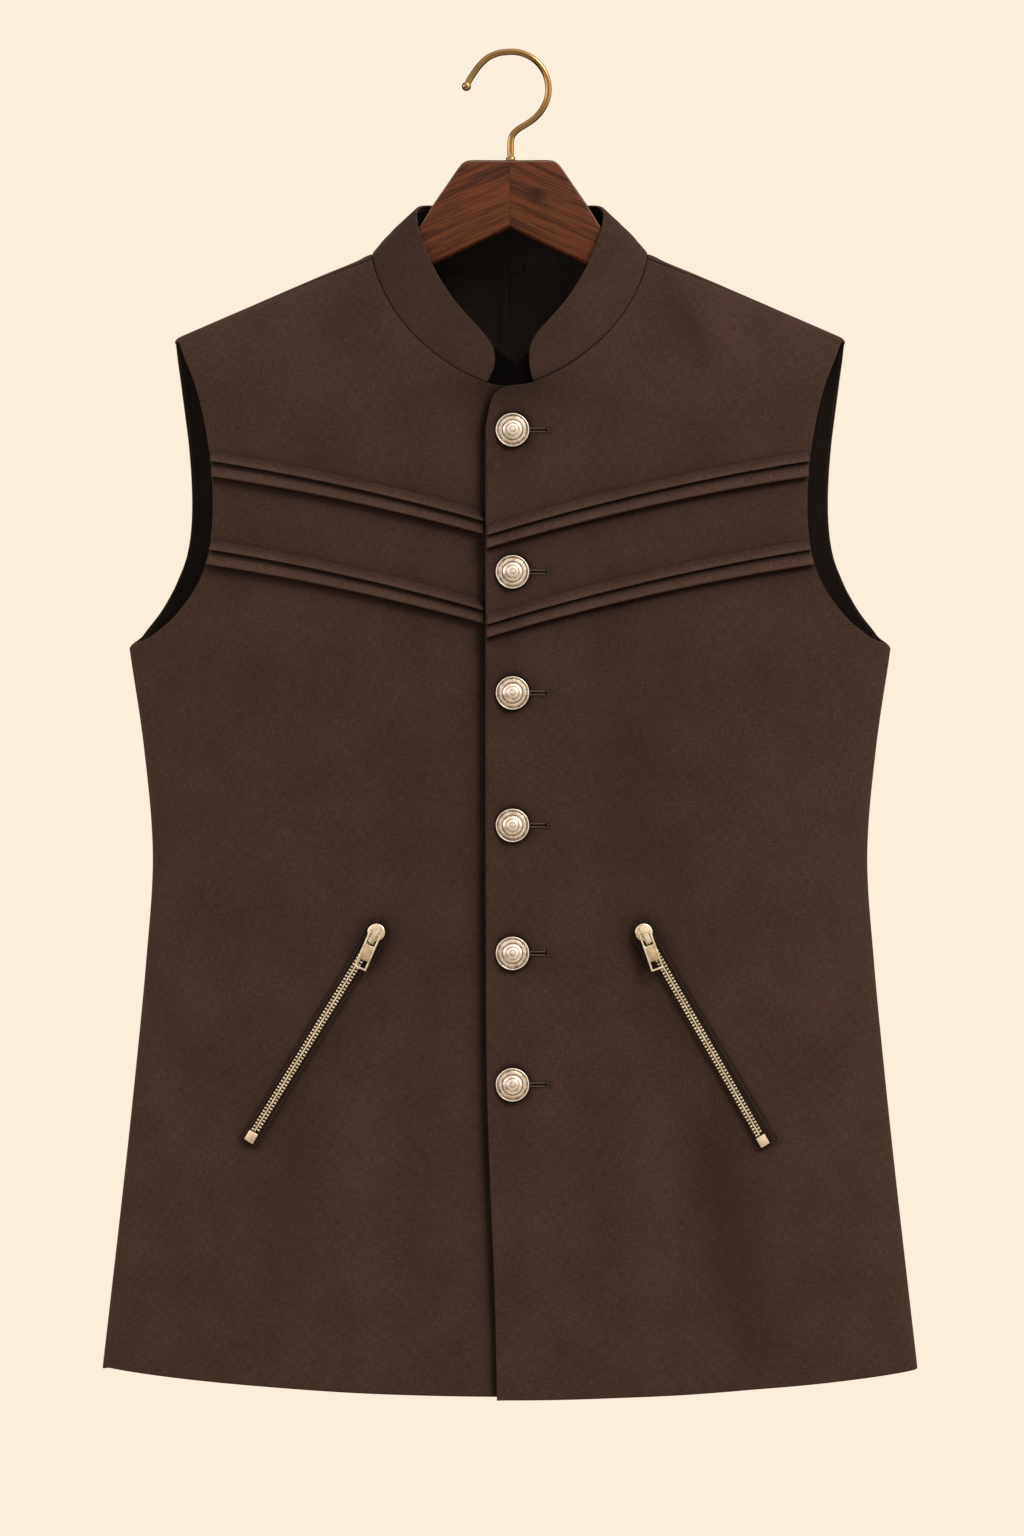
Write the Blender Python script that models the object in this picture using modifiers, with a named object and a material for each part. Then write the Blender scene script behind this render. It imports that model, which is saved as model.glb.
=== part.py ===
"""Sleeveless nehru jacket of brown suiting, hanging on a wooden hanger with a brass hook.

Metres, +Z up, the front of the jacket facing -Y.  The origin is the seat inside the crown of the hook, so
everything hangs below it.  All cloth pieces are closed walls laid on one garment surface, which is worked
out from the widths, depths and shoulder slope below: `phi` runs round the body from the centre (0) to the
side seam (90 degrees), and `q` runs from the front hem (negative), over the shoulder ridge (0), to the
back hem (positive).  Names use the wearer's left and right; the wearer's left front is the upper layer.
"""
import math

import bmesh
import bpy
import numpy as np
from mathutils import Matrix, Vector

MM = 0.001
MERGE_DISTANCE = 0.01 * MM
FRONT = -1
BACK = 1

# Body of the jacket
CHEST_HALF = 0.2513
UNDERARM_Z = -0.3912
HEM_Z = -0.8815
HEM_HALF = 0.2690
HEM_RISE = 0.0147
UNDER_LAYER_HEM_RISE = 0.0020
NECK_HALF = 0.0910
NECK_RIDGE_Z = -0.1311
SHOULDER_TIP_X = 0.2215
SHOULDER_SLOPE = 0.4330
WALL = 1.6 * MM
LINING_WALL = 1.0 * MM
LINING_GAP = 0.5 * MM
SEAM_Q = 0.006
SIDE_SEAM_Y = 0.15 * MM

# z, half width between the side seams
SIDE_SEAM = (
    (-0.8670, 0.2690),
    (-0.7560, 0.2563),
    (-0.6770, 0.2478),
    (-0.5970, 0.2401),
    (-0.5280, 0.2358),
    (-0.4580, 0.2415),
    (-0.3912, 0.2513),
)
# z, depth of the front at the centre, depth of the back at the centre
DEPTHS = (
    (-0.8815, 0.0420, 0.0370),
    (-0.6800, 0.0400, 0.0350),
    (-0.5300, 0.0380, 0.0310),
    (-0.3900, 0.0400, 0.0330),
    (-0.2200, 0.0400, 0.0330),
)
# How far below the ridge the cloth reaches its full depth
REACH_AT_NECK = 0.1250
REACH_AT_TIP = 0.0660
REACH_LIMIT = 1.2
BACK_REACH_SHARE = 0.70
# How the rows fall away from the ridge
ROW_FALL = 0.0625
ROW_FADE = 1.2
ROW_MIDDLE_Z = -0.1600

# Forward shoulder seam, as q at the neck and at the tip of the shoulder
SHOULDER_SEAM_NECK_Q = 0.23
SHOULDER_SEAM_TIP_Q = 0.03

# x, z along the back neck seam, from the centre to the shoulder ridge
BACK_NECK = (
    (0.0000, -0.1330),
    (0.0350, -0.1329),
    (0.0620, -0.1325),
    (0.0810, -0.1318),
    (0.0895, -0.1309),
    (0.0910, -0.1311),
)
# x, z along the front neck seam, from the shoulder seam across the centre
FRONT_NECK = (
    (0.0905, -0.1357),
    (0.0872, -0.1474),
    (0.0785, -0.1667),
    (0.0657, -0.1848),
    (0.0505, -0.1993),
    (0.0350, -0.2103),
    (0.0150, -0.2196),
    (0.0000, -0.2216),
    (-0.0150, -0.2196),
)
# x, z along the edge of each armhole, from the tip of the shoulder to the underarm
FRONT_ARMHOLE = (
    (0.2215, -0.1872),
    (0.2150, -0.1981),
    (0.2103, -0.2094),
    (0.2058, -0.2215),
    (0.2020, -0.2356),
    (0.1991, -0.2495),
    (0.1969, -0.2635),
    (0.1952, -0.2780),
    (0.1946, -0.2960),
    (0.1951, -0.3130),
    (0.1970, -0.3280),
    (0.2002, -0.3400),
    (0.2047, -0.3501),
    (0.2110, -0.3600),
    (0.2196, -0.3705),
    (0.2298, -0.3795),
    (0.2404, -0.3862),
    (0.2513, -0.3912),
)
BACK_ARMHOLE = (
    (0.2215, -0.1866),
    (0.2206, -0.1990),
    (0.2182, -0.2180),
    (0.2158, -0.2370),
    (0.2135, -0.2557),
    (0.2117, -0.2790),
    (0.2113, -0.3000),
    (0.2125, -0.3180),
    (0.2154, -0.3326),
    (0.2190, -0.3445),
    (0.2240, -0.3560),
    (0.2316, -0.3686),
    (0.2406, -0.3795),
    (0.2513, -0.3912),
)
# z, x of the edge of the upper layer
LAP_EDGE = (
    (-0.8815, -0.0085),
    (-0.8170, -0.0099),
    (-0.6870, -0.0148),
    (-0.5580, -0.0159),
    (-0.2500, -0.0159),
)
# x, z round the top corner of the upper layer, from its edge to the neck seam
LAP_CORNER = (
    (-0.0159, -0.2500),
    (-0.0140, -0.2385),
    (-0.0112, -0.2290),
    (-0.0060, -0.2238),
)
UNDER_EDGE_X = -0.0150
LAP_LIFT = 2.6 * MM
LAP_FLAT_X = 0.0180
LAP_END_X = 0.0800

# Panel grids: share of each column and row
NECK_COLUMN_SHARE = 0.38
SHOULDER_COLUMNS = (0.50, 0.62, 0.73, 0.83, 0.91, 0.96, 1.0)
UNDERARM_ROW_SHARE = 0.42
UNDERARM_ROW_Z = -0.4600
PATCH_ROWS = 101
PATCH_COLUMNS = 51
RELAX_ROUNDS = 600
ROWS_ABOVE = (0.0, 0.03, 0.06, 0.095, 0.135, 0.18, 0.24, 0.31, 0.41, 0.53, 0.66, 0.78, 0.89)
ROWS_BELOW = (0.0, 0.14, 0.28, 0.42, 0.56, 0.70, 0.84, 0.95, 1.0)
FACING_SPOTS = 6

# Collar: x, y, z of its top edge, from the centre back to the front end
COLLAR_TOP = (
    (0.0000, 0.0170, -0.0945),
    (0.0280, 0.0155, -0.0955),
    (0.0480, 0.0105, -0.0975),
    (0.0607, 0.0015, -0.0997),
    (0.0612, -0.0070, -0.1107),
    (0.0565, -0.0118, -0.1260),
    (0.0500, -0.0145, -0.1412),
    (0.0374, -0.0180, -0.1618),
    (0.0180, -0.0205, -0.1842),
)
COLLAR_END_X = 0.0150
COLLAR_STAND = 40.0 * MM
COLLAR_BACK_LIFT = 0.8 * MM
COLLAR_FRONT_LIFT = 2.2 * MM
COLLAR_LIFT_END = 0.35
COLLAR_SAMPLES = 41
COLLAR_BOW = 1.5 * MM
COLLAR_END_BULGE = 4.0 * MM
COLLAR_BULGE_END = 0.75
COLLAR_CORNER = 13.0 * MM
COLLAR_CORNER_START = 0.66
COLLAR_ROWS = (0.0, 0.06, 0.30, 0.54, 0.76, 0.93, 1.0)
NECK_FACING_HALF = 0.0190
NECK_FACING_DIP = 16.0 * MM
NECK_FACING_RISE = 12.0 * MM

# Hanging loop inside the centre back
LOOP_X = (-1.6 * MM, 9.8 * MM)
LOOP_Z = (-135.2 * MM, -143.0 * MM)
LOOP_WALL = 1.2 * MM

# Double tucks: height of the upper fold at the centre, its slope and its bend
TUCK_BANDS = {"upper": -0.3152, "lower": -0.3732}
TUCK_SLOPE = 0.295
TUCK_BEND = 0.33
TUCK_STATIONS = 13
TUCK_ARMHOLE_GAP = 1.5 * MM
TUCK_END_X = 0.1960
LAP_EDGE_REACH = 0.0168
# name, top and bottom edge measured down from the upper fold, and how it widens towards the armhole
TUCK_FOLDS = (
    ("a", -7.5 * MM, -0.2 * MM, 0.0),
    ("b", 0.2 * MM, 8.4 * MM, 1.5 * MM),
)
TUCK_THIN = 0.7 * MM
TUCK_THICK = 1.7 * MM
TUCK_EDGE = 1.36 * MM
TUCK_CREST = 0.75
SEAM_GAP = 0.3 * MM

# Zipped pockets (the wearer's left one; the right one mirrors it)
ZIP_TOP = (0.0868, -0.5775)
ZIP_BOTTOM = (0.1665, -0.7126)
TAB_TILT = math.radians(22.0)
ZIP_STATIONS = 10
TAPE_WIDTH = 10.0 * MM
TAPE_WALL = 0.7 * MM
WELT_WIDTH = 13.6 * MM
WELT_BAND = 1.4 * MM
WELT_WALL = 1.1 * MM
ZIP_END = 6.0 * MM
TAPE_INSET = 1.8 * MM
EDGE_SOFTENING = 0.3 * MM
CHAIN_WIDTH = 5.4 * MM
CHAIN_WALL = 1.4 * MM
STOP_WIDTH = 6.4 * MM
STOP_LENGTH = 7.1 * MM
STOP_WALL = 1.8 * MM
SLIDER_HEAD_RADIUS = 5.7 * MM
SLIDER_WALL = 1.4 * MM
SLIDER_TAIL = (6.4 * MM, 9.5 * MM)
BRIDGE_WIDTH = 3.0 * MM
BRIDGE_TOP_END = 4.8 * MM
BRIDGE_LOW_END = 8.4 * MM
BRIDGE_WALL = 1.1 * MM
BRIDGE_POST = 1.2 * MM
SLIDER_TURN_SEGMENTS = 24
PIN_DROP = 1.5 * MM
PIN_RADIUS = 0.6 * MM
PIN_PLAY = 0.5 * MM
PIN_ROOT = 0.2 * MM
PIN_SEGMENTS = 12
TAB_WIDTH = 8.4 * MM
TAB_LENGTH = 24.5 * MM
TAB_WALL = 1.2 * MM
TAB_SLOT = (5.8 * MM, 7.8 * MM)
TAB_WINDOW = (6.0 * MM, 5.8 * MM)
TAB_RIM = 1.3 * MM

# Buttons
BUTTON_X = 0.0016
BUTTON_HEIGHTS = (-0.2508, -0.3431, -0.4217, -0.5078, -0.5911, -0.6764)
BUTTON_STEPS = 24
# radius, height above the cloth
BUTTON_PROFILE = (
    (0.0 * MM, 5.4 * MM),
    (3.2 * MM, 5.0 * MM),
    (5.6 * MM, 3.9 * MM),
    (6.6 * MM, 2.7 * MM),
    (9.7 * MM, 2.3 * MM),
    (10.9 * MM, 1.7 * MM),
    (10.9 * MM, 1.0 * MM),
    (7.5 * MM, 0.0 * MM),
    (0.0 * MM, 0.0 * MM),
)

# Hanger: x, top z, bottom z, half thickness, corner radius
HANGER_SECTIONS = (
    (0.0002, -0.0699, -0.1141, 0.0060, 0.0020),
    (0.0120, -0.0699, -0.1197, 0.0060, 0.0020),
    (0.0255, -0.0699, -0.1261, 0.0060, 0.0020),
    (0.0295, -0.0708, -0.1280, 0.0060, 0.0020),
    (0.0330, -0.0737, -0.1296, 0.0060, 0.0020),
    (0.0420, -0.0866, -0.1339, 0.0060, 0.0022),
    (0.0510, -0.0996, -0.1381, 0.0059, 0.0024),
    (0.0590, -0.1120, -0.1418, 0.0058, 0.0030),
    (0.0680, -0.1235, -0.1461, 0.0057, 0.0036),
    (0.0790, -0.1328, -0.1512, 0.0056, 0.0042),
    (0.0920, -0.1380, -0.1570, 0.0055, 0.0046),
    (0.1200, -0.1496, -0.1685, 0.0050, 0.0044),
    (0.1550, -0.1647, -0.1838, 0.0045, 0.0040),
    (0.1850, -0.1772, -0.1960, 0.0040, 0.0036),
    (0.1950, -0.1820, -0.1985, 0.0034, 0.0030),
    (0.1985, -0.1860, -0.1960, 0.0022, 0.0018),
)

# Hook
WIRE_RADIUS = 2.25 * MM
HOOK_RADIUS = 24.4 * MM
HOOK_CENTRE = (1.0 * MM, WIRE_RADIUS - HOOK_RADIUS)
HOOK_START_ANGLE = math.radians(95.0)
HOOK_END_ANGLE = math.radians(-28.0)
HOOK_ARC_STEPS = 11
# x, z from the ball at the tip to the start of the round
HOOK_TIP = ((-0.0288, -0.0206), (-0.0270, -0.0168), (-0.0242, -0.0123), (-0.0198, -0.0064), (-0.0146, -0.0017),
            (-0.0080, 0.0012))
# x, z from the end of the round to the shank
HOOK_NECK = ((0.0197, -0.0380), (0.0155, -0.0423), (0.0109, -0.0455), (0.0062, -0.0483), (0.0034, -0.0506),
             (0.0012, -0.0538), (0.0004, -0.0580), (0.0004, -0.0640))
HOOK_FOOT_Z = -0.0696
BALL_RADIUS = 3.1 * MM
FERRULE_STEPS = 20
# radius, height above the wood
FERRULE_PROFILE = (
    (2.6 * MM, 2.9 * MM),
    (3.3 * MM, 2.9 * MM),
    (3.5 * MM, 1.1 * MM),
    (4.0 * MM, 0.3 * MM),
    (2.6 * MM, 0.3 * MM),
)


# ---------------------------------------------------------------- numbers and curves

def smooth_read(table, value, column=1):
    """Read a column of a table at a value of its first column, on a smooth curve through its rows."""
    rows = sorted(table)
    keys = [row[0] for row in rows]
    vals = [row[column] for row in rows]
    value = min(max(value, keys[0]), keys[-1])
    i = max(j for j in range(len(keys) - 1) if keys[j] <= value)
    span = keys[i + 1] - keys[i]
    t = (value - keys[i]) / span

    def slope(j):
        a = max(j - 1, 0)
        b = min(j + 1, len(keys) - 1)
        return (vals[b] - vals[a]) / (keys[b] - keys[a])

    h00 = 2 * t ** 3 - 3 * t ** 2 + 1
    h10 = t ** 3 - 2 * t ** 2 + t
    h01 = 3 * t ** 2 - 2 * t ** 3
    h11 = t ** 3 - t ** 2
    return h00 * vals[i] + h10 * span * slope(i) + h01 * vals[i + 1] + h11 * span * slope(i + 1)


def route_point(points, t):
    """Point at t (0 to 1) on a smooth curve through the points."""
    place = min(max(t, 0.0), 1.0) * (len(points) - 1)
    i = min(int(place), len(points) - 2)
    f = place - i
    p1, p2 = Vector(points[i]), Vector(points[i + 1])
    p0 = Vector(points[i - 1]) if i > 0 else 2 * p1 - p2
    p3 = Vector(points[i + 2]) if i + 2 < len(points) else 2 * p2 - p1
    return 0.5 * (2 * p1 + (p2 - p0) * f + (2 * p0 - 5 * p1 + 4 * p2 - p3) * f ** 2
                  + (3 * p1 - p0 - 3 * p2 + p3) * f ** 3)


def even_points(points, count):
    """Resample a smooth route at equal steps of length, and give the length."""
    fine = 6 * count
    dense = [route_point(points, i / fine) for i in range(fine + 1)]
    lengths = [0.0]
    for a, b in zip(dense, dense[1:]):
        lengths.append(lengths[-1] + (b - a).length)
    out = []
    for k in range(count):
        want = lengths[-1] * k / (count - 1)
        i = min(max(sum(1 for s in lengths if s < want) - 1, 0), fine - 1)
        share = (want - lengths[i]) / (lengths[i + 1] - lengths[i])
        out.append(dense[i].lerp(dense[i + 1], share))
    return out, lengths[-1]


def mix(a, b, t):
    return a + (b - a) * t


def ease(t):
    t = min(max(t, 0.0), 1.0)
    return t * t * (3 - 2 * t)


# ---------------------------------------------------------------- garment surface

def half_width(z):
    return CHEST_HALF if z > UNDERARM_Z else smooth_read(SIDE_SEAM, z)


def ridge_z(across):
    return NECK_RIDGE_Z - SHOULDER_SLOPE * (abs(across) - NECK_HALF)


def row_z(across, q):
    keep = math.exp(-(q / ROW_FADE) ** 2)
    return mix(ROW_MIDDLE_Z, ridge_z(across), keep) - ROW_FALL * q * q


def row_q(across, z):
    low, high = 0.0, 6.0
    for _ in range(40):
        middle = (low + high) / 2
        if row_z(across, middle) > z:
            low = middle
        else:
            high = middle
    return low


def spot(x, z, face):
    """The (phi, q) of a place on the garment given by its x and z."""
    sine = min(max(x / half_width(z), -1.0), 1.0)
    return math.asin(sine), face * row_q(CHEST_HALF * sine, z)


def garment_base(phi, q):
    across = CHEST_HALF * math.sin(phi)
    z = row_z(across, q)
    fall = max(ridge_z(across) - z, 0.0)
    to_tip = (abs(across) - NECK_HALF) / (SHOULDER_TIP_X - NECK_HALF)
    reach = mix(REACH_AT_NECK, REACH_AT_TIP, min(max(to_tip, 0.0), REACH_LIMIT))
    face = FRONT
    column = 1
    if q > 0:
        face = BACK
        column = 2
        reach *= BACK_REACH_SHARE
    full = min(fall / reach, 1.0)
    y = face * smooth_read(DEPTHS, z, column) * math.cos(phi) * math.sqrt(1 - (1 - full) ** 2)
    return Vector((half_width(z) * math.sin(phi), y, z))


def garment_normal(phi, q):
    step = 0.002
    round_body = garment_base(phi + step, q) - garment_base(phi - step, q)
    over_body = garment_base(phi, q + step) - garment_base(phi, q - step)
    return round_body.cross(over_body).normalized()


def garment_point(phi, q, out=0.0):
    return garment_base(phi, q) + garment_normal(phi, q) * out


def lap_lift(x):
    return LAP_LIFT * (1 - ease((x - LAP_FLAT_X) / (LAP_END_X - LAP_FLAT_X)))


def front_point(side, x, z, out):
    """A point moved out from a front panel; side is 1 for the wearer's left, x is its distance that way."""
    phi, q = spot(x, z, FRONT)
    point = garment_point(phi, q, out + (lap_lift(x) if side > 0 else 0.0))
    return Vector((side * point.x, point.y, point.z))


# ---------------------------------------------------------------- mesh helpers

def tidy_scene():
    for item in list(bpy.data.objects):
        bpy.data.objects.remove(item, do_unlink=True)
    for name in ("nehru_jacket", "cutters"):
        group = bpy.data.collections.new(name)
        bpy.context.scene.collection.children.link(group)


def add_object(name, mesh, material, collection="nehru_jacket"):
    item = bpy.data.objects.new(name, mesh)
    bpy.data.collections[collection].objects.link(item)
    if material:
        mesh.materials.clear()
        mesh.materials.append(material)
    return item


def mesh_from(name, points, faces):
    """A closed mesh from points and faces, with its faces turned out."""
    mesh = bpy.data.meshes.new(name)
    build = bmesh.new()
    verts = [build.verts.new(p) for p in points]
    for face in faces:
        build.faces.new([verts[i] for i in face])
    bmesh.ops.recalc_face_normals(build, faces=build.faces)
    build.to_mesh(mesh)
    build.free()
    mesh.shade_smooth()
    mesh.set_sharp_from_angle(angle=math.radians(40))
    return mesh


def wall_mesh(name, outer, inner, ring=False):
    """A closed wall between two grids of points, whose rows are open, or closed when ring is set.

    Both grids are split along the same diagonals, so that walls laid on each other stay parallel.
    """
    rows, columns = len(outer), len(outer[0])
    points = [p for grid in (outer, inner) for row in grid for p in row]

    def at(layer, i, j):
        return layer * rows * columns + (i % rows) * columns + j

    faces = []
    for i in range(rows if ring else rows - 1):
        for j in range(columns - 1):
            for layer in (0, 1):
                here, across = at(layer, i, j), at(layer, i, j + 1)
                below, beyond = at(layer, i + 1, j), at(layer, i + 1, j + 1)
                faces.append((here, across, beyond))
                faces.append((here, beyond, below))
        for j in (0, columns - 1):
            faces.append((at(0, i, j), at(0, i + 1, j), at(1, i + 1, j), at(1, i, j)))
    if not ring:
        for i in (0, rows - 1):
            for j in range(columns - 1):
                faces.append((at(0, i, j), at(0, i, j + 1), at(1, i, j + 1), at(1, i, j)))
    return mesh_from(name, points, faces)


def loft_mesh(name, sections):
    """A closed solid through sections that all have the same number of points, capped at both ends."""
    size = len(sections[0])
    points = [p for section in sections for p in section]
    faces = [tuple(range(size)), tuple(range(len(points) - size, len(points)))]
    for i in range(len(sections) - 1):
        for j in range(size):
            k = (j + 1) % size
            faces.append((i * size + j, i * size + k, (i + 1) * size + k, (i + 1) * size + j))
    return mesh_from(name, points, faces)


def box_mesh(name, x, y, z):
    """A box between the given pairs of x, y and z."""
    mesh = bpy.data.meshes.new(name)
    build = bmesh.new()
    bmesh.ops.create_cube(build, size=1.0)
    centre = [(pair[0] + pair[1]) / 2 for pair in (x, y, z)]
    size = [pair[1] - pair[0] for pair in (x, y, z)]
    matrix = Matrix.Translation(centre) @ Matrix.Diagonal((*size, 1.0))
    bmesh.ops.transform(build, matrix=matrix, verts=build.verts)
    build.to_mesh(mesh)
    build.free()
    return mesh


def rod_mesh(name, radius, length, axis, centre, segments):
    """A round rod along an axis, centred on a point."""
    mesh = bpy.data.meshes.new(name)
    build = bmesh.new()
    bmesh.ops.create_cone(build, cap_ends=True, segments=segments, depth=length, radius1=radius, radius2=radius)
    turn = Vector((0, 0, 1)).rotation_difference(Vector(axis)).to_matrix().to_4x4()
    bmesh.ops.transform(build, matrix=Matrix.Translation(centre) @ turn, verts=build.verts)
    build.to_mesh(mesh)
    build.free()
    return mesh


def combine(item, mesh, operation):
    """Join a mesh to an object, or cut it away, with a Boolean."""
    tool = add_object(item.name + "_" + operation.lower(), mesh, None, "cutters")
    tool.hide_render = True
    tool.display_type = "WIRE"
    tool.matrix_world = item.matrix_world
    change = item.modifiers.new(operation.title(), "BOOLEAN")
    change.operation = operation
    change.object = tool
    change.solver = "EXACT"


def soften(item, width):
    bevel = item.modifiers.new("Softened edges", "BEVEL")
    bevel.width = width
    bevel.segments = 1
    bevel.angle_limit = math.radians(40)


def turn_profile(item, steps):
    """Turn a profile in the XZ plane round its own Z axis."""
    screw = item.modifiers.new("Turned", "SCREW")
    screw.steps = steps
    screw.render_steps = steps
    screw.use_merge_vertices = True
    screw.merge_threshold = MERGE_DISTANCE


def make_material(name, colour, roughness, metallic=0.0):
    material = bpy.data.materials.new(name)
    material.use_nodes = True
    shader = material.node_tree.nodes["Principled BSDF"]
    shader.inputs["Base Color"].default_value = (*colour, 1.0)
    shader.inputs["Roughness"].default_value = roughness
    shader.inputs["Metallic"].default_value = metallic
    return material


# ---------------------------------------------------------------- body panels

def patch(top, bottom, left, right, columns, rows):
    """A grid of (phi, q) between four edges that meet at the corners, relaxed so that no part folds over."""
    u, v = np.linspace(0.0, 1.0, PATCH_COLUMNS), np.linspace(0.0, 1.0, PATCH_ROWS)
    above, below = (np.array([edge(float(share)) for share in u]) for edge in (top, bottom))
    near, far = (np.array([edge(float(share)) for share in v]) for edge in (left, right))
    u, v = u[None, :, None], v[:, None, None]
    corners = (1 - v) * ((1 - u) * above[0] + u * above[-1]) + v * ((1 - u) * below[0] + u * below[-1])
    grid = (1 - v) * above[None] + v * below[None] + (1 - u) * near[:, None] + u * far[:, None] - corners
    for _ in range(RELAX_ROUNDS):
        north, south, west, east = grid[:-2, 1:-1], grid[2:, 1:-1], grid[1:-1, :-2], grid[1:-1, 2:]
        across, down = (east - west) / 2, (south - north) / 2
        wide = np.sum(across * across, axis=-1, keepdims=True)
        tall = np.sum(down * down, axis=-1, keepdims=True)
        skew = np.sum(across * down, axis=-1, keepdims=True)
        twist = (grid[2:, 2:] - grid[2:, :-2] - grid[:-2, 2:] + grid[:-2, :-2]) / 2
        grid[1:-1, 1:-1] = (tall * (east + west) + wide * (north + south) - skew * twist) / (2 * (tall + wide))

    def inside(u, v):
        i = min(int(v * (PATCH_ROWS - 1)), PATCH_ROWS - 2)
        j = min(int(u * (PATCH_COLUMNS - 1)), PATCH_COLUMNS - 2)
        t, r = v * (PATCH_ROWS - 1) - i, u * (PATCH_COLUMNS - 1) - j
        place = mix(mix(grid[i, j], grid[i, j + 1], r), mix(grid[i + 1, j], grid[i + 1, j + 1], r), t)
        return float(place[0]), float(place[1])

    def place(u, v):
        if v in (0.0, 1.0):
            return top(u) if v == 0.0 else bottom(u)
        if u in (0.0, 1.0):
            return left(v) if u == 0.0 else right(v)
        return inside(u, v)

    return [[tuple(place(u, v)) for u in columns] for v in rows]


def hem_z(x, rise=0.0):
    return HEM_Z + rise + HEM_RISE * (x / HEM_HALF) ** 2


def panel_grid(face, neck, edge_x, armhole, rise=0.0):
    """Grid of (phi, q) over half a front or half the back, from its centre edge to its side seam."""
    top_q = neck[0][1]
    underarm_q = face * row_q(CHEST_HALF, UNDERARM_Z)
    level_q = face * row_q(0.0, UNDERARM_ROW_Z)
    side_z = hem_z(HEM_HALF, rise)
    side_q = face * row_q(CHEST_HALF, side_z)
    shift = face * SEAM_Q
    armhole_spots = [spot(x, z, face) for x, z in armhole]
    tip = (math.asin(SHOULDER_TIP_X / CHEST_HALF), -SHOULDER_SEAM_TIP_Q + shift)
    armhole_spots[0] = tip

    def side_phi(z):
        depth = smooth_read(DEPTHS, z, 1 if face == FRONT else 2)
        return math.acos(SIDE_SEAM_Y / depth)

    armhole_spots[-1] = (side_phi(UNDERARM_Z), underarm_q)

    def centre(q):
        z = row_z(0.0, q)
        return math.asin(edge_x(z) / half_width(z)), q

    hem_q = face * row_q(0.0, hem_z(edge_x(HEM_Z), rise))

    def top(u):
        if u <= NECK_COLUMN_SHARE:
            return tuple(route_point(neck, u / NECK_COLUMN_SHARE))
        share = (u - NECK_COLUMN_SHARE) / (1 - NECK_COLUMN_SHARE)
        return mix(neck[-1][0], tip[0], share), mix(neck[-1][1], tip[1], share)

    def bottom(u):
        phi = mix(centre(hem_q)[0], side_phi(side_z), u)
        x = HEM_HALF * math.sin(phi)
        return phi, face * row_q(CHEST_HALF * math.sin(phi), hem_z(x, rise))

    def left(v):
        if v <= UNDERARM_ROW_SHARE:
            q = mix(top_q, level_q, v / UNDERARM_ROW_SHARE)
        else:
            q = mix(level_q, hem_q, (v - UNDERARM_ROW_SHARE) / (1 - UNDERARM_ROW_SHARE))
        if v == 0.0:
            return tuple(neck[0])
        return centre(q)

    def right(v):
        if v <= UNDERARM_ROW_SHARE:
            return tuple(route_point(armhole_spots, v / UNDERARM_ROW_SHARE))
        q = mix(underarm_q, side_q, (v - UNDERARM_ROW_SHARE) / (1 - UNDERARM_ROW_SHARE))
        z = row_z(CHEST_HALF, q)
        return side_phi(z), q

    rows = [UNDERARM_ROW_SHARE * share for share in ROWS_ABOVE]
    rows += [mix(UNDERARM_ROW_SHARE, 1.0, share) for share in ROWS_BELOW]
    cells = len(neck) - 1
    columns = [NECK_COLUMN_SHARE * i / cells for i in range(cells + 1)]
    return patch(top, bottom, left, right, [*columns, *SHOULDER_COLUMNS], rows)


def front_neck_spots(corner):
    """(phi, q) from the front edge, round its top corner, along the neck seam to the shoulder seam."""
    seam = [place for place in reversed(FRONT_NECK) if place[0] >= 0.0]
    spots = [spot(x, z, FRONT) for x, z in (*corner, *seam)]
    spots[-1] = (spots[-1][0], -SHOULDER_SEAM_NECK_Q - SEAM_Q)
    return spots


def back_neck_spots():
    """(phi, q) along the back neck seam, from the centre over the ridge to the shoulder seam."""
    spots = [spot(x, z, BACK) for x, z in BACK_NECK]
    corner = spot(*FRONT_NECK[0], FRONT)
    return spots + [(corner[0], -SHOULDER_SEAM_NECK_Q + SEAM_Q)]


def garment_wall(name, grid, out, thickness, material, side=1, lift=lambda x: 0.0):
    """A cloth wall whose outer face lies at a distance out from the garment surface."""
    outer, inner = [], []
    for line in grid:
        far, near = [], []
        for phi, q in line:
            extra = lift(garment_base(phi, q).x)
            for place, move in ((far, out), (near, out - thickness)):
                point = garment_point(phi, q, move + extra)
                place.append(Vector((side * point.x, point.y, point.z)))
        outer.append(far)
        inner.append(near)
    return add_object(name, wall_mesh(name, outer, inner), material)


def whole_back(grid):
    """Mirror half of the back so that each row runs from side seam to side seam."""
    return [[(-phi, q) for phi, q in reversed(line[1:])] + line for line in grid]


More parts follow.
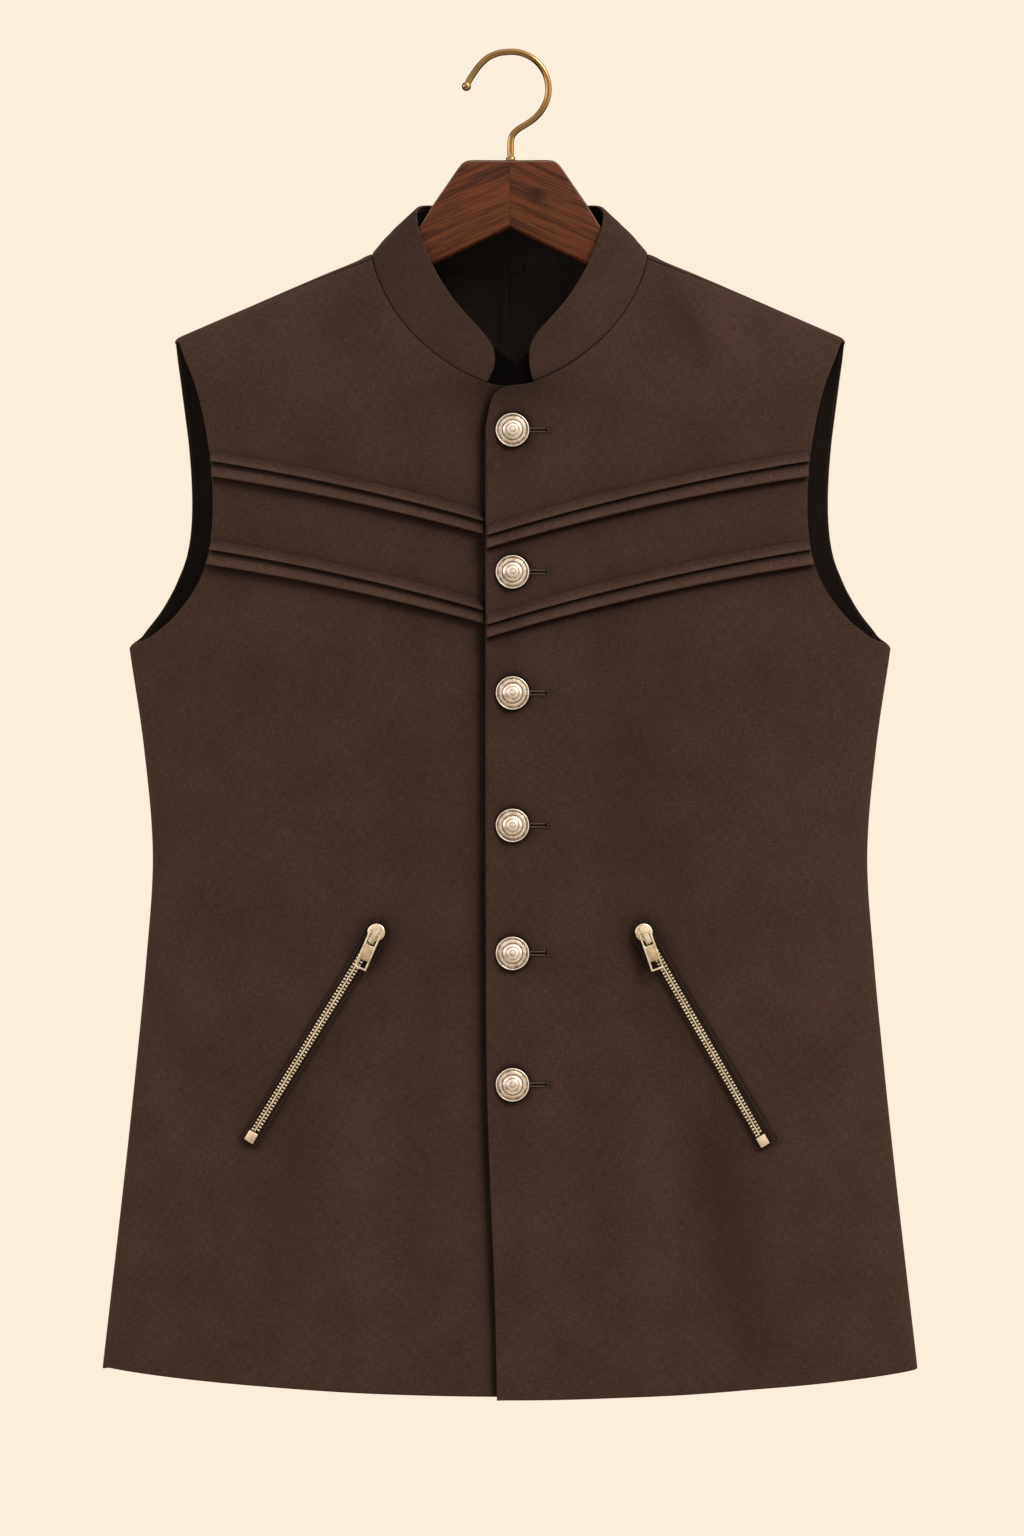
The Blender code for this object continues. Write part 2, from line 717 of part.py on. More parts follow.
def make_body(materials):
    lining_out = -(WALL + LINING_GAP)
    lap_neck = front_neck_spots(LAP_CORNER)
    under_neck = front_neck_spots(FRONT_NECK[-1:])

    def lap_edge(z):
        return smooth_read(LAP_EDGE, z)

    def straight_edge(x):
        return lambda z: x

    left = panel_grid(FRONT, lap_neck, lap_edge, FRONT_ARMHOLE)
    right = panel_grid(FRONT, under_neck, straight_edge(UNDER_EDGE_X), FRONT_ARMHOLE, UNDER_LAYER_HEM_RISE)
    back = panel_grid(BACK, back_neck_spots(), straight_edge(0.0), BACK_ARMHOLE)
    garment_wall("front_left", left, 0.0, WALL, materials["suiting"], 1, lap_lift)
    garment_wall("front_right", right, 0.0, WALL, materials["suiting"], -1)
    garment_wall("back", whole_back(back), 0.0, WALL, materials["suiting"])

    for name, grid, side, neck in (("lining_front_left", left, 1, lap_neck),
                                   ("lining_front_right", right, -1, under_neck)):
        start = len(neck) - FACING_SPOTS
        inside = [line[start:-1] for line in grid[1:-1]]
        garment_wall(name, inside, lining_out, LINING_WALL, materials["lining"], side)
    inside = [line[:-1] for line in back[1:-1]]
    garment_wall("lining_back", whole_back(inside), lining_out, LINING_WALL, materials["lining"])


def make_hanger_loop(materials):
    """Small tab of suiting sewn inside the centre back, just under the neck seam."""
    gap = WALL + LINING_GAP + LINING_WALL + SEAM_GAP
    grid = [[spot(mix(*LOOP_X, i / 2), mix(*LOOP_Z, j / 2), BACK) for i in range(3)] for j in range(3)]
    garment_wall("hanger_loop", grid, -gap, LOOP_WALL, materials["suiting"])


# ---------------------------------------------------------------- collar

def neck_seam_points():
    """3-D points along half of the neck seam, from the centre back to the collar's front end."""
    front = [(x, z) for x, z in FRONT_NECK if x >= COLLAR_END_X]
    spots = back_neck_spots()[:-1] + [spot(x, z, FRONT) for x, z in front]
    return [garment_base(phi, q) for phi, q in spots]


def collar_point(a, b, out, lower, upper):
    """Point on the collar: a runs from the centre back (0) to its front end (1), b from seam to top."""
    def on(a, b):
        low = route_point(lower, a)
        high = route_point(upper, a)
        if a > 1.0:
            low += (lower[-1] - lower[-2]) * (a - 1.0) * (len(lower) - 1)
            high += (upper[-1] - upper[-2]) * (a - 1.0) * (len(upper) - 1)
        return low.lerp(high, b)

    step = 0.01
    along = on(a + step, b) - on(max(a - step, 0.0), b)
    up = on(a, b + step) - on(a, b - step)
    if a <= 0.0:
        along = Vector((1.0, 0.0, 0.0))
    normal = up.cross(along).normalized() * -1.0
    if normal.dot(Vector((on(a, b).x, on(a, b).y, 0.0))) < 0:
        normal.negate()
    return on(a, b) + normal * (out + COLLAR_BOW * 4 * b * (1 - b))


def collar_end_share(b, length):
    """How far the collar runs at height b: bulging a little, then rounding off its top corner."""
    bulge = COLLAR_END_BULGE * math.sin(math.pi * min(b / COLLAR_BULGE_END, 1.0))
    over = max(b - COLLAR_CORNER_START, 0.0) / (1 - COLLAR_CORNER_START)
    cut = COLLAR_CORNER * (1 - math.sqrt(max(1 - over * over, 0.0)))
    return 1.0 + (bulge - cut) / length


def lifted(a, b):
    """Height b on the collar with its lower edge raised clear of the panels it is sewn to."""
    lift = mix(COLLAR_BACK_LIFT, COLLAR_FRONT_LIFT, ease(a / COLLAR_LIFT_END))
    return b + (1 - b) * lift / COLLAR_STAND


def collar_wall(name, rows, out, thickness, trim, material):
    seam_rows = neck_seam_points()
    seam, seam_length = even_points(seam_rows, COLLAR_SAMPLES)
    top, top_length = even_points(COLLAR_TOP, COLLAR_SAMPLES)
    steps = [(b - a).length for a, b in zip(seam_rows, seam_rows[1:])]
    stations = [sum(steps[:k]) / sum(steps) for k in range(len(seam_rows))]
    grids = ([], [])
    for b in rows:
        length = mix(seam_length, top_length, b)
        end = collar_end_share(b, length)
        shares = [end * share for share in stations]
        shares[-1] -= trim / length
        for grid, move in zip(grids, (out, out - thickness)):
            half = [collar_point(a, lifted(a, b), move, seam, top) for a in shares]
            other = [Vector((-p.x, p.y, p.z)) for p in reversed(half[1:])]
            grid.append(other + half)
    return add_object(name, wall_mesh(name, grids[0], grids[1]), material)


def make_collar(materials):
    collar_wall("collar", COLLAR_ROWS, 0.0, WALL, 0.0, materials["suiting"])
    facing_out = -(WALL + LINING_GAP)
    collar_wall("collar_facing", COLLAR_ROWS[1:-1], facing_out, LINING_WALL, 1.0 * MM, materials["lining"])


def make_neck_facing(materials):
    """Black facing that closes the gap between the collar's front ends, with a dipping top edge."""
    lean = Vector(COLLAR_TOP[-1]) - neck_seam_points()[-1]
    lean.x = 0.0
    lean.normalize()
    back = Vector((0.0, -lean.z, lean.y)) * -1.0
    gap = WALL + LINING_GAP + LINING_WALL + SEAM_GAP
    rows, columns = 3, 8
    seam = FRONT_NECK[4:]
    outer, inner = [], []
    for j in range(rows + 1):
        far, near = [], []
        for i in range(columns + 1):
            x = mix(-NECK_FACING_HALF, NECK_FACING_HALF, i / columns)
            z = smooth_read(seam, abs(x))
            foot = garment_base(*spot(abs(x), z, FRONT))
            foot.x = x
            top = NECK_FACING_DIP + NECK_FACING_RISE * abs(x) / NECK_FACING_HALF
            for place, move in ((far, gap), (near, gap + LINING_WALL)):
                place.append(foot + lean * top * j / rows + back * move)
        outer.append(far)
        inner.append(near)
    add_object("neck_facing", wall_mesh("neck_facing", outer, inner), materials["lining"])


# ---------------------------------------------------------------- tucks

def tuck_z(band_z, x):
    """Height of a band's upper fold at x, which runs from the front edge (negative) to the armhole."""
    return band_z + TUCK_SLOPE * x - TUCK_BEND * x ** 2


def armhole_x(z):
    rows = sorted((row[1], row[0]) for row in FRONT_ARMHOLE)
    return smooth_read(rows, z)


def make_tucks(materials):
    """Two bands of two folded tucks across each front, each a strip that thickens to its folded edge."""
    for side, side_name in ((1, "left"), (-1, "right")):
        start = UNDER_EDGE_X if side > 0 else LAP_EDGE_REACH
        for band, band_z in TUCK_BANDS.items():
            end = armhole_x(tuck_z(band_z, TUCK_END_X)) - TUCK_ARMHOLE_GAP
            for fold, low, high, widen in TUCK_FOLDS:
                sections = []
                for k in range(TUCK_STATIONS):
                    x = mix(start, end, k / (TUCK_STATIONS - 1))
                    extra = widen * max(x, 0.0) / end
                    drops = (low, low, mix(low, high, TUCK_CREST), high + extra, high + extra)
                    outs = (0.0, TUCK_THIN, TUCK_THICK, TUCK_EDGE, 0.0)
                    z = tuck_z(band_z, x)
                    sections.append([front_point(side, x, z - drop, SEAM_GAP + out)
                                     for drop, out in zip(drops, outs)])
                name = f"tuck_{side_name}_{band}_{fold}"
                add_object(name, loft_mesh(name, sections), materials["suiting"])


# ---------------------------------------------------------------- zips

def zip_place(along, across):
    """x and z of a place on the zip: along from its slider towards its stop, across towards the side."""
    down = (Vector(ZIP_BOTTOM) - Vector(ZIP_TOP)).normalized()
    side = Vector((-down.y, down.x))
    place = Vector(ZIP_TOP) + down * along + side * across
    return place.x, place.y


def zip_length():
    return (Vector(ZIP_BOTTOM) - Vector(ZIP_TOP)).length


def zip_strip(name, side, start, end, width, out, thickness, material):
    outer, inner = [], []
    for k in range(ZIP_STATIONS):
        along = mix(start, end, k / (ZIP_STATIONS - 1))
        for grid, move in ((outer, out + thickness), (inner, out)):
            grid.append([front_point(side, *zip_place(along, width * (j - 0.5)), move) for j in (0, 1)])
    return add_object(name, wall_mesh(name, outer, inner), material)


def zip_welt(name, side, material):
    """Stitched rim of suiting round the zip."""
    start, end = -ZIP_END, zip_length() + ZIP_END
    half = WELT_WIDTH / 2

    def rim(inset):
        corners = ((start + inset, -half + inset), (end - inset, -half + inset),
                   (end - inset, half - inset), (start + inset, half - inset))
        steps = (ZIP_STATIONS, 2, ZIP_STATIONS, 2)
        route = []
        for corner, follow, count in zip(corners, corners[1:] + corners[:1], steps):
            for k in range(count - 1):
                share = k / (count - 1)
                route.append((mix(corner[0], follow[0], share), mix(corner[1], follow[1], share)))
        return route

    outer, inner = [], []
    for a, b in zip(rim(0.0), rim(WELT_BAND)):
        for grid, move in ((outer, SEAM_GAP + WELT_WALL), (inner, SEAM_GAP)):
            grid.append([front_point(side, *zip_place(*place), move) for place in (a, b)])
    return add_object(name, wall_mesh(name, outer, inner, ring=True), material)


def zip_frame(side, along, out, tilt):
    """Place on the zip with Z up the garment, tilted from the upright, and -Y out of the cloth."""
    x, z = zip_place(along, 0.0)
    origin = front_point(side, x, z, out)
    beside = front_point(side, x + MM, z, out)
    above = front_point(side, x, z + MM, out)
    normal = (beside - origin).cross(above - origin) * side
    inward = -normal.normalized()
    lean = Vector((-side * math.sin(tilt), 0.0, math.cos(tilt)))
    up = (lean - inward * lean.dot(inward)).normalized()
    right = inward.cross(up)
    turn = Matrix((right, inward, up)).transposed().to_4x4()
    return Matrix.Translation(origin) @ turn


def make_slider(name, side, chain_top, tilt, material):
    frame = zip_frame(side, 0.0, chain_top + SEAM_GAP, tilt)
    centre = (0, -SLIDER_WALL / 2, 0)
    head = rod_mesh(name, SLIDER_HEAD_RADIUS, SLIDER_WALL, (0, 1, 0), centre, SLIDER_TURN_SEGMENTS)
    item = add_object(name, head, material)
    item.matrix_world = frame
    width, length = SLIDER_TAIL
    top = -SLIDER_WALL
    combine(item, box_mesh(name, (-width / 2, width / 2), (top, 0.0), (-length, 0.0)), "UNION")
    under = top - (PIN_RADIUS * 2 + PIN_PLAY + SEAM_GAP)
    half = BRIDGE_WIDTH / 2
    root = -0.5 * MM
    for z in ((BRIDGE_TOP_END - BRIDGE_POST, BRIDGE_TOP_END), (-BRIDGE_LOW_END, BRIDGE_POST - BRIDGE_LOW_END)):
        combine(item, box_mesh(name, (-half, half), (under - BRIDGE_WALL / 2, root), z), "UNION")
    crown = box_mesh(name, (-half, half), (under - BRIDGE_WALL, under), (-BRIDGE_LOW_END, BRIDGE_TOP_END))
    combine(item, crown, "UNION")
    return item


def make_pull(name, side, chain_top, material):
    """Pull tab with a slot round the slider's bridge, a window, and the pin it turns on at its origin."""
    height = chain_top + SEAM_GAP + SLIDER_WALL + PIN_PLAY + PIN_RADIUS
    frame = zip_frame(side, PIN_DROP, height, TAB_TILT)
    half = TAB_WIDTH / 2
    deep = (-TAB_WALL / 2, TAB_WALL / 2)
    item = add_object(name, box_mesh(name, (-half, half), deep, (-TAB_LENGTH, PIN_RADIUS)), material)
    item.matrix_world = frame
    soften(item, EDGE_SOFTENING)
    slot_width, slot_end = TAB_SLOT
    through = (-TAB_WALL, TAB_WALL)
    slot = box_mesh(name, (-slot_width / 2, slot_width / 2), through, (-slot_end, 2 * MM))
    combine(item, slot, "DIFFERENCE")
    window_width, window_height = TAB_WINDOW
    low = -TAB_LENGTH + TAB_RIM
    window = box_mesh(name, (-window_width / 2, window_width / 2), through, (low, low + window_height))
    combine(item, window, "DIFFERENCE")
    pin = rod_mesh(name, PIN_RADIUS, slot_width + 2 * PIN_ROOT, (1, 0, 0), (0, 0, 0), PIN_SEGMENTS)
    combine(item, pin, "UNION")
    return item


def make_zips(materials):
    chain_out = SEAM_GAP + TAPE_WALL + SEAM_GAP
    chain_top = chain_out + CHAIN_WALL
    down = Vector(ZIP_BOTTOM) - Vector(ZIP_TOP)
    zip_tilt = math.atan2(down.x, -down.y)
    length = zip_length()
    for side, side_name in ((1, "left"), (-1, "right")):
        tape_ends = (TAPE_INSET - ZIP_END, length + ZIP_END - TAPE_INSET)
        tape = f"zip_tape_{side_name}"
        zip_strip(tape, side, *tape_ends, TAPE_WIDTH, SEAM_GAP, TAPE_WALL, materials["tape"])
        zip_strip(f"zip_chain_{side_name}", side, 0.0, length - STOP_LENGTH / 2 - SEAM_GAP,
                  CHAIN_WIDTH, chain_out, CHAIN_WALL, materials["zip_metal"])
        zip_welt(f"zip_welt_{side_name}", side, materials["suiting"])
        frame = zip_frame(side, length, chain_out, zip_tilt)
        half = STOP_WIDTH / 2
        block = box_mesh("stop", (-half, half), (-STOP_WALL, 0.0), (-STOP_LENGTH / 2, STOP_LENGTH / 2))
        stop = add_object(f"zip_stop_{side_name}", block, materials["zip_metal"])
        stop.matrix_world = frame
        soften(stop, EDGE_SOFTENING)
        make_slider(f"zip_slider_{side_name}", side, chain_top, zip_tilt, materials["zip_metal"])
        make_pull(f"zip_pull_{side_name}", side, chain_top, materials["zip_metal"])


# ---------------------------------------------------------------- buttons

def make_buttons(materials):
    """Six domed metal buttons on the upper layer."""
    for number, z in enumerate(BUTTON_HEIGHTS, start=1):
        origin = front_point(1, BUTTON_X, z, SEAM_GAP)
        normal = garment_normal(*spot(BUTTON_X, z, FRONT))
        mesh = bpy.data.meshes.new(f"button_{number}")
        build = bmesh.new()
        profile = [build.verts.new((radius, 0.0, height)) for radius, height in BUTTON_PROFILE]
        for a, b in zip(profile, profile[1:]):
            build.edges.new((a, b))
        build.to_mesh(mesh)
        build.free()
        item = add_object(f"button_{number}", mesh, materials["button_metal"])
        turn = Vector((0, 0, 1)).rotation_difference(normal).to_matrix().to_4x4()
        item.matrix_world = Matrix.Translation(origin) @ turn
        turn_profile(item, BUTTON_STEPS)


# ---------------------------------------------------------------- hanger

def hanger_section(x, top, bottom, half, radius):
    """Rounded rectangle across the hanger at x, with three points at each corner."""
    points = []
    corners = ((half, top, 0.0), (-half, top, 90.0), (-half, bottom, 180.0), (half, bottom, 270.0))
    for y, z, start in corners:
        centre_y = y - math.copysign(radius, y)
        centre_z = z - radius if z == top else z + radius
        for turn in (0.0, 45.0, 90.0):
            angle = math.radians(start + turn)
            round_y, round_z = radius * math.cos(angle), radius * math.sin(angle)
            points.append(Vector((x, centre_y + round_y, centre_z + round_z)))
    return points


def make_hanger(materials):
    """Two wooden halves that meet in a mitre seam at the centre; each arm runs inside a shoulder."""
    for side, side_name in ((1, "left"), (-1, "right")):
        sections = []
        for x, top, bottom, half, radius in HANGER_SECTIONS:
            points = hanger_section(x, top, bottom, half, radius)
            sections.append([Vector((side * p.x, p.y, p.z)) for p in points])
        name = f"hanger_{side_name}"
        add_object(name, loft_mesh(name, sections), materials["wood"])


def make_hook(materials):
    arc = []
    for k in range(HOOK_ARC_STEPS):
        angle = mix(HOOK_START_ANGLE, HOOK_END_ANGLE, k / (HOOK_ARC_STEPS - 1))
        place = Vector(HOOK_CENTRE) + HOOK_RADIUS * Vector((math.cos(angle), math.sin(angle)))
        arc.append(tuple(place))
    route = [*HOOK_TIP, *arc, *HOOK_NECK]
    curve = bpy.data.curves.new("hook_wire", "CURVE")
    curve.dimensions = "3D"
    curve.bevel_depth = WIRE_RADIUS
    curve.bevel_resolution = 2
    curve.use_fill_caps = True
    spline = curve.splines.new("POLY")
    fine = 2 * (len(route) - 1)
    places = [route_point([(x, 0.0, z) for x, z in route], k / fine) for k in range(fine + 1)]
    places.append(Vector((places[-1].x, 0.0, HOOK_FOOT_Z)))
    spline.points.add(len(places) - 1)
    for point, place in zip(spline.points, places):
        point.co = (*place, 1.0)
    wire = bpy.data.objects.new("hook_wire", curve)
    bpy.data.collections["cutters"].objects.link(wire)
    depsgraph = bpy.context.evaluated_depsgraph_get()
    mesh = bpy.data.meshes.new_from_object(wire.evaluated_get(depsgraph))
    bpy.data.objects.remove(wire, do_unlink=True)
    build = bmesh.new()
    build.from_mesh(mesh)
    bmesh.ops.remove_doubles(build, verts=build.verts, dist=MERGE_DISTANCE)
    bmesh.ops.recalc_face_normals(build, faces=build.faces)
    build.to_mesh(mesh)
    build.free()
    hook = add_object("hook", mesh, materials["brass"])
    ball = bpy.data.meshes.new("hook_ball")
    build = bmesh.new()
    centre = Matrix.Translation((HOOK_TIP[0][0], 0.0, HOOK_TIP[0][1]))
    bmesh.ops.create_uvsphere(build, u_segments=14, v_segments=9, radius=BALL_RADIUS, matrix=centre)
    build.to_mesh(ball)
    build.free()
    combine(hook, ball, "UNION")


def make_ferrule(materials):
    """Flared collar round the foot of the hook, standing on the wood."""
    mesh = bpy.data.meshes.new("hook_ferrule")
    build = bmesh.new()
    ring = [build.verts.new((radius, 0.0, height)) for radius, height in FERRULE_PROFILE]
    for a, b in zip(ring, ring[1:] + ring[:1]):
        build.edges.new((a, b))
    build.to_mesh(mesh)
    build.free()
    item = add_object("hook_ferrule", mesh, materials["brass"])
    item.location = (HOOK_NECK[-1][0], 0.0, HANGER_SECTIONS[0][1])
    turn_profile(item, FERRULE_STEPS)


def main():
    tidy_scene()
    materials = {
        "suiting": make_material("brown_suiting", (0.055, 0.030, 0.022), 0.9),
        "lining": make_material("black_lining", (0.008, 0.007, 0.006), 0.5),
        "tape": make_material("dark_zip_tape", (0.018, 0.012, 0.010), 0.85),
        "zip_metal": make_material("pale_gold_zip", (0.74, 0.58, 0.38), 0.3, 1.0),
        "button_metal": make_material("antique_silver", (0.66, 0.60, 0.50), 0.35, 1.0),
        "brass": make_material("antique_brass", (0.28, 0.16, 0.05), 0.3, 1.0),
        "wood": make_material("dark_stained_wood", (0.11, 0.035, 0.018), 0.45),
    }
    make_body(materials)
    make_hanger_loop(materials)
    make_collar(materials)
    make_neck_facing(materials)
    make_tucks(materials)
    make_zips(materials)
    make_buttons(materials)
    make_hanger(materials)
    make_hook(materials)
    make_ferrule(materials)


main()
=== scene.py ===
"""Looks of a sleeveless nehru jacket of brown suiting on a wooden hanger with a brass hook.

Metres, +Z up, the fronts facing -Y, the origin inside the crown of the hook.  Left and right are the
wearer's.  The cloth lies on one garment surface: phi runs round the body from the centre (0) to the side seam
(90 degrees), q runs from the front hem (negative) over the shoulder ridge (0) to the back hem (positive).
"""
import math

import bmesh
import bpy
import numpy as np
from mathutils import Matrix, Vector


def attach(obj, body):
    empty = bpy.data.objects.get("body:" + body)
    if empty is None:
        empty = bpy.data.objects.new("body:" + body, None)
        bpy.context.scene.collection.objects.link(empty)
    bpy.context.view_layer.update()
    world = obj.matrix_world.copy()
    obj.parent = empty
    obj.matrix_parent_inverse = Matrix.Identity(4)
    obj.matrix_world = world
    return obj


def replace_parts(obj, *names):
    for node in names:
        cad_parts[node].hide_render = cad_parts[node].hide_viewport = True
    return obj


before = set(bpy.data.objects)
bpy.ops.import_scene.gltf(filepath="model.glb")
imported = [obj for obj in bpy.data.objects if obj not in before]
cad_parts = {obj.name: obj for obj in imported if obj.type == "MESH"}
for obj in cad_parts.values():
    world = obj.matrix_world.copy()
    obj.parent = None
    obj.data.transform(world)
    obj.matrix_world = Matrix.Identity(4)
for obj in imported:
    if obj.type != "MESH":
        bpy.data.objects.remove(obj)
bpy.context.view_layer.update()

MM = 0.001
FRONT = -1
BACK = 1
BODY = "jacket"

# ---------------------------------------------------------------- sizes of the jacket

CHEST_HALF = 0.2513
UNDERARM_Z = -0.3912
HEM_Z = -0.8815
HEM_HALF = 0.2690
HEM_RISE = 0.0147
UNDER_LAYER_HEM_RISE = 0.0020
NECK_HALF = 0.0910
NECK_RIDGE_Z = -0.1311
SHOULDER_TIP_X = 0.2215
SHOULDER_SLOPE = 0.4330
WALL = 1.6 * MM
LINING_WALL = 1.0 * MM
LINING_DEPTH = 2.1 * MM
SEAM_Q = 0.004
SIDE_SEAM_Y = 0.15 * MM

# z, half width between the side seams
SIDE_SEAM = (
    (-0.8670, 0.2690),
    (-0.7560, 0.2563),
    (-0.6770, 0.2478),
    (-0.5970, 0.2401),
    (-0.5280, 0.2358),
    (-0.4580, 0.2415),
    (-0.3912, 0.2513),
)
# z, depth of the front at the centre, depth of the back at the centre
DEPTHS = (
    (-0.8815, 0.0420, 0.0370),
    (-0.6800, 0.0400, 0.0350),
    (-0.5300, 0.0380, 0.0310),
    (-0.3900, 0.0400, 0.0330),
    (-0.2200, 0.0400, 0.0330),
)
# How far below the shoulder ridge the cloth reaches its full depth, and how its rows fall away
REACH_AT_NECK = 0.1250
REACH_AT_TIP = 0.0660
REACH_LIMIT = 1.2
BACK_REACH_SHARE = 0.70
ROW_FALL = 0.0625
ROW_FADE = 1.2
ROW_MIDDLE_Z = -0.1600
# The search for the row at a height: the greatest q, and how many times the range is halved
ROW_SEARCH = (6.0, 36)
TIP_ROUND = 3.8 * MM
TIP_DROP = 2.4 * MM
SHOULDER_SEAM_NECK_Q = 0.23
SHOULDER_SEAM_TIP_Q = 0.03

# x, z along the back neck seam, from the centre to the shoulder ridge
BACK_NECK = (
    (0.0000, -0.1330),
    (0.0350, -0.1329),
    (0.0620, -0.1325),
    (0.0810, -0.1318),
    (0.0895, -0.1309),
    (0.0910, -0.1311),
)
NECK_FRONT_Z = -0.2216
# x, z along the front neck seam, from the shoulder seam across the centre
FRONT_NECK = (
    (0.0905, -0.1357),
    (0.0872, -0.1474),
    (0.0785, -0.1667),
    (0.0657, -0.1848),
    (0.0505, -0.1993),
    (0.0350, -0.2103),
    (0.0150, -0.2196),
    (0.0000, NECK_FRONT_Z),
    (-0.0150, -0.2196),
)
# x, z along the edge of each armhole, from the tip of the shoulder to the underarm
FRONT_ARMHOLE = (
    (0.2215, -0.1872),
    (0.2150, -0.1981),
    (0.2103, -0.2094),
    (0.2058, -0.2215),
    (0.2020, -0.2356),
    (0.1991, -0.2495),
    (0.1969, -0.2635),
    (0.1952, -0.2780),
    (0.1946, -0.2960),
    (0.1951, -0.3130),
    (0.1970, -0.3280),
    (0.2002, -0.3400),
    (0.2047, -0.3501),
    (0.2110, -0.3600),
    (0.2196, -0.3705),
    (0.2298, -0.3795),
    (0.2404, -0.3862),
    (0.2513, -0.3912),
)
BACK_ARMHOLE = (
    (0.2215, -0.1866),
    (0.2206, -0.1990),
    (0.2182, -0.2180),
    (0.2158, -0.2370),
    (0.2135, -0.2557),
    (0.2117, -0.2790),
    (0.2113, -0.3000),
    (0.2125, -0.3180),
    (0.2154, -0.3326),
    (0.2199, -0.3445),
    (0.2252, -0.3560),
    (0.2326, -0.3686),
    (0.2409, -0.3795),
    (0.2457, -0.3853),
    (0.2513, -0.3912),
)
# z, x of the edge of the upper layer
LAP_EDGE = (
    (-0.8815, -0.0085),
    (-0.8170, -0.0099),
    (-0.6870, -0.0148),
    (-0.5580, -0.0159),
    (-0.2500, -0.0159),
)
# x, z round the top corner of the upper layer, from its edge to the neck seam
LAP_CORNER = (
    (-0.0159, -0.2500),
    (-0.0140, -0.2385),
    (-0.0112, -0.2290),
    (-0.0060, -0.2238),
)
UNDER_EDGE_X = -0.0150
LAP_LIFT = 2.6 * MM
LAP_FLAT_X = 0.0180
LAP_END_X = 0.0800
LAP_CURL = 2.2 * MM
LAP_CURL_X = -0.0020
NECK_COLUMN_SHARE = 0.38
UNDERARM_ROW_SHARE = 0.42
UNDERARM_ROW_Z = -0.4600

# Creases pressed into the hanging cloth: ends (x, z and x, z), half width, height out of the cloth (a trough
# is negative), the face they lie on
CREASES = (
    (0.098, -0.142, 0.128, -0.215, 0.011, -2.6 * MM, FRONT),
    (0.122, -0.162, 0.160, -0.220, 0.013, 1.6 * MM, FRONT),
    (-0.102, -0.150, -0.122, -0.205, 0.012, -1.3 * MM, FRONT),
    (0.124, -0.700, 0.161, -0.880, 0.025, -4.0 * MM, FRONT),
    (0.066, -0.390, 0.104, -0.650, 0.029, -2.4 * MM, FRONT),
    (0.090, -0.720, 0.106, -0.880, 0.022, 1.2 * MM, FRONT),
    (0.176, -0.450, 0.192, -0.640, 0.026, 1.4 * MM, FRONT),
    (-0.060, -0.430, -0.052, -0.640, 0.026, -1.1 * MM, FRONT),
    (-0.150, -0.640, -0.160, -0.890, 0.032, -1.3 * MM, FRONT),
    (-0.095, -0.700, -0.098, -0.890, 0.028, 0.9 * MM, FRONT),
    (0.205, -0.415, 0.150, -0.470, 0.014, -0.9 * MM, FRONT),
    (-0.208, -0.410, -0.165, -0.450, 0.014, -0.7 * MM, FRONT),
    (0.196, -0.520, 0.140, -0.540, 0.016, -0.7 * MM, FRONT),
    (-0.200, -0.530, -0.150, -0.545, 0.016, -0.6 * MM, FRONT),
    (-0.085, -0.420, -0.110, -0.890, 0.036, -2.4 * MM, BACK),
    (0.060, -0.520, 0.078, -0.890, 0.034, -2.0 * MM, BACK),
    (0.000, -0.300, -0.012, -0.890, 0.030, 1.2 * MM, BACK),
    (0.205, -0.420, 0.120, -0.500, 0.016, -1.2 * MM, BACK),
    (-0.205, -0.415, -0.140, -0.470, 0.016, -1.0 * MM, BACK),
    (-0.120, -0.190, -0.070, -0.300, 0.022, -1.1 * MM, BACK),
    (0.115, -0.185, 0.080, -0.270, 0.020, -0.9 * MM, BACK),
)
# A crease runs out over this share of its length, at each end and as far again beyond it
CREASE_FADE = 0.25
# Where the creases set in and over how far: out from the centre in metres, and down from the ridge in q
CENTRE_CALM = (0.010, 0.050)
SHOULDER_CALM = (0.25, 0.50)
# The cloth lies plain this near to each slider
SLIDER_CALM = 0.026
# Painted shading of the creases: how much paler the cloth is painted for each metre that a crease lifts it
DRAPE_SHADING = 50.0

# ---------------------------------------------------------------- numbers and curves


def mix(a, b, t):
    return a + (b - a) * t


def ease(t):
    t = np.clip(t, 0.0, 1.0)
    return t * t * (3 - 2 * t)


def read(table, value, column=1):
    """Read a column of a table at values of its first column, on a smooth curve through its rows."""
    rows = np.array(sorted(table), float)
    keys, vals = rows[:, 0], rows[:, column]
    last = len(keys) - 1
    before, after = np.maximum(np.arange(last + 1) - 1, 0), np.minimum(np.arange(last + 1) + 1, last)
    slopes = (vals[after] - vals[before]) / (keys[after] - keys[before])
    value = np.clip(value, keys[0], keys[-1])
    i = np.clip(np.searchsorted(keys, value, side="right") - 1, 0, last - 1)
    span = keys[i + 1] - keys[i]
    t = (value - keys[i]) / span
    return ((2 * t ** 3 - 3 * t ** 2 + 1) * vals[i] + (t ** 3 - 2 * t ** 2 + t) * span * slopes[i]
            + (3 * t ** 2 - 2 * t ** 3) * vals[i + 1] + (t ** 3 - t ** 2) * span * slopes[i + 1])


def route(points, t):
    """Places at t (0 to 1) on a smooth curve through the points; the result has one more axis than t."""
    points = np.array(points, float)
    points = np.vstack((2 * points[0] - points[1], points, 2 * points[-1] - points[-2]))
    place = np.clip(t, 0.0, 1.0) * (len(points) - 3)
    i = np.minimum(place.astype(int), len(points) - 4)
    f = (place - i)[..., None]
    p0, p1, p2, p3 = (points[i + k] for k in range(4))
    return 0.5 * (2 * p1 + (p2 - p0) * f + (2 * p0 - 5 * p1 + 4 * p2 - p3) * f ** 2
                  + (3 * p1 - p0 - 3 * p2 + p3) * f ** 3)


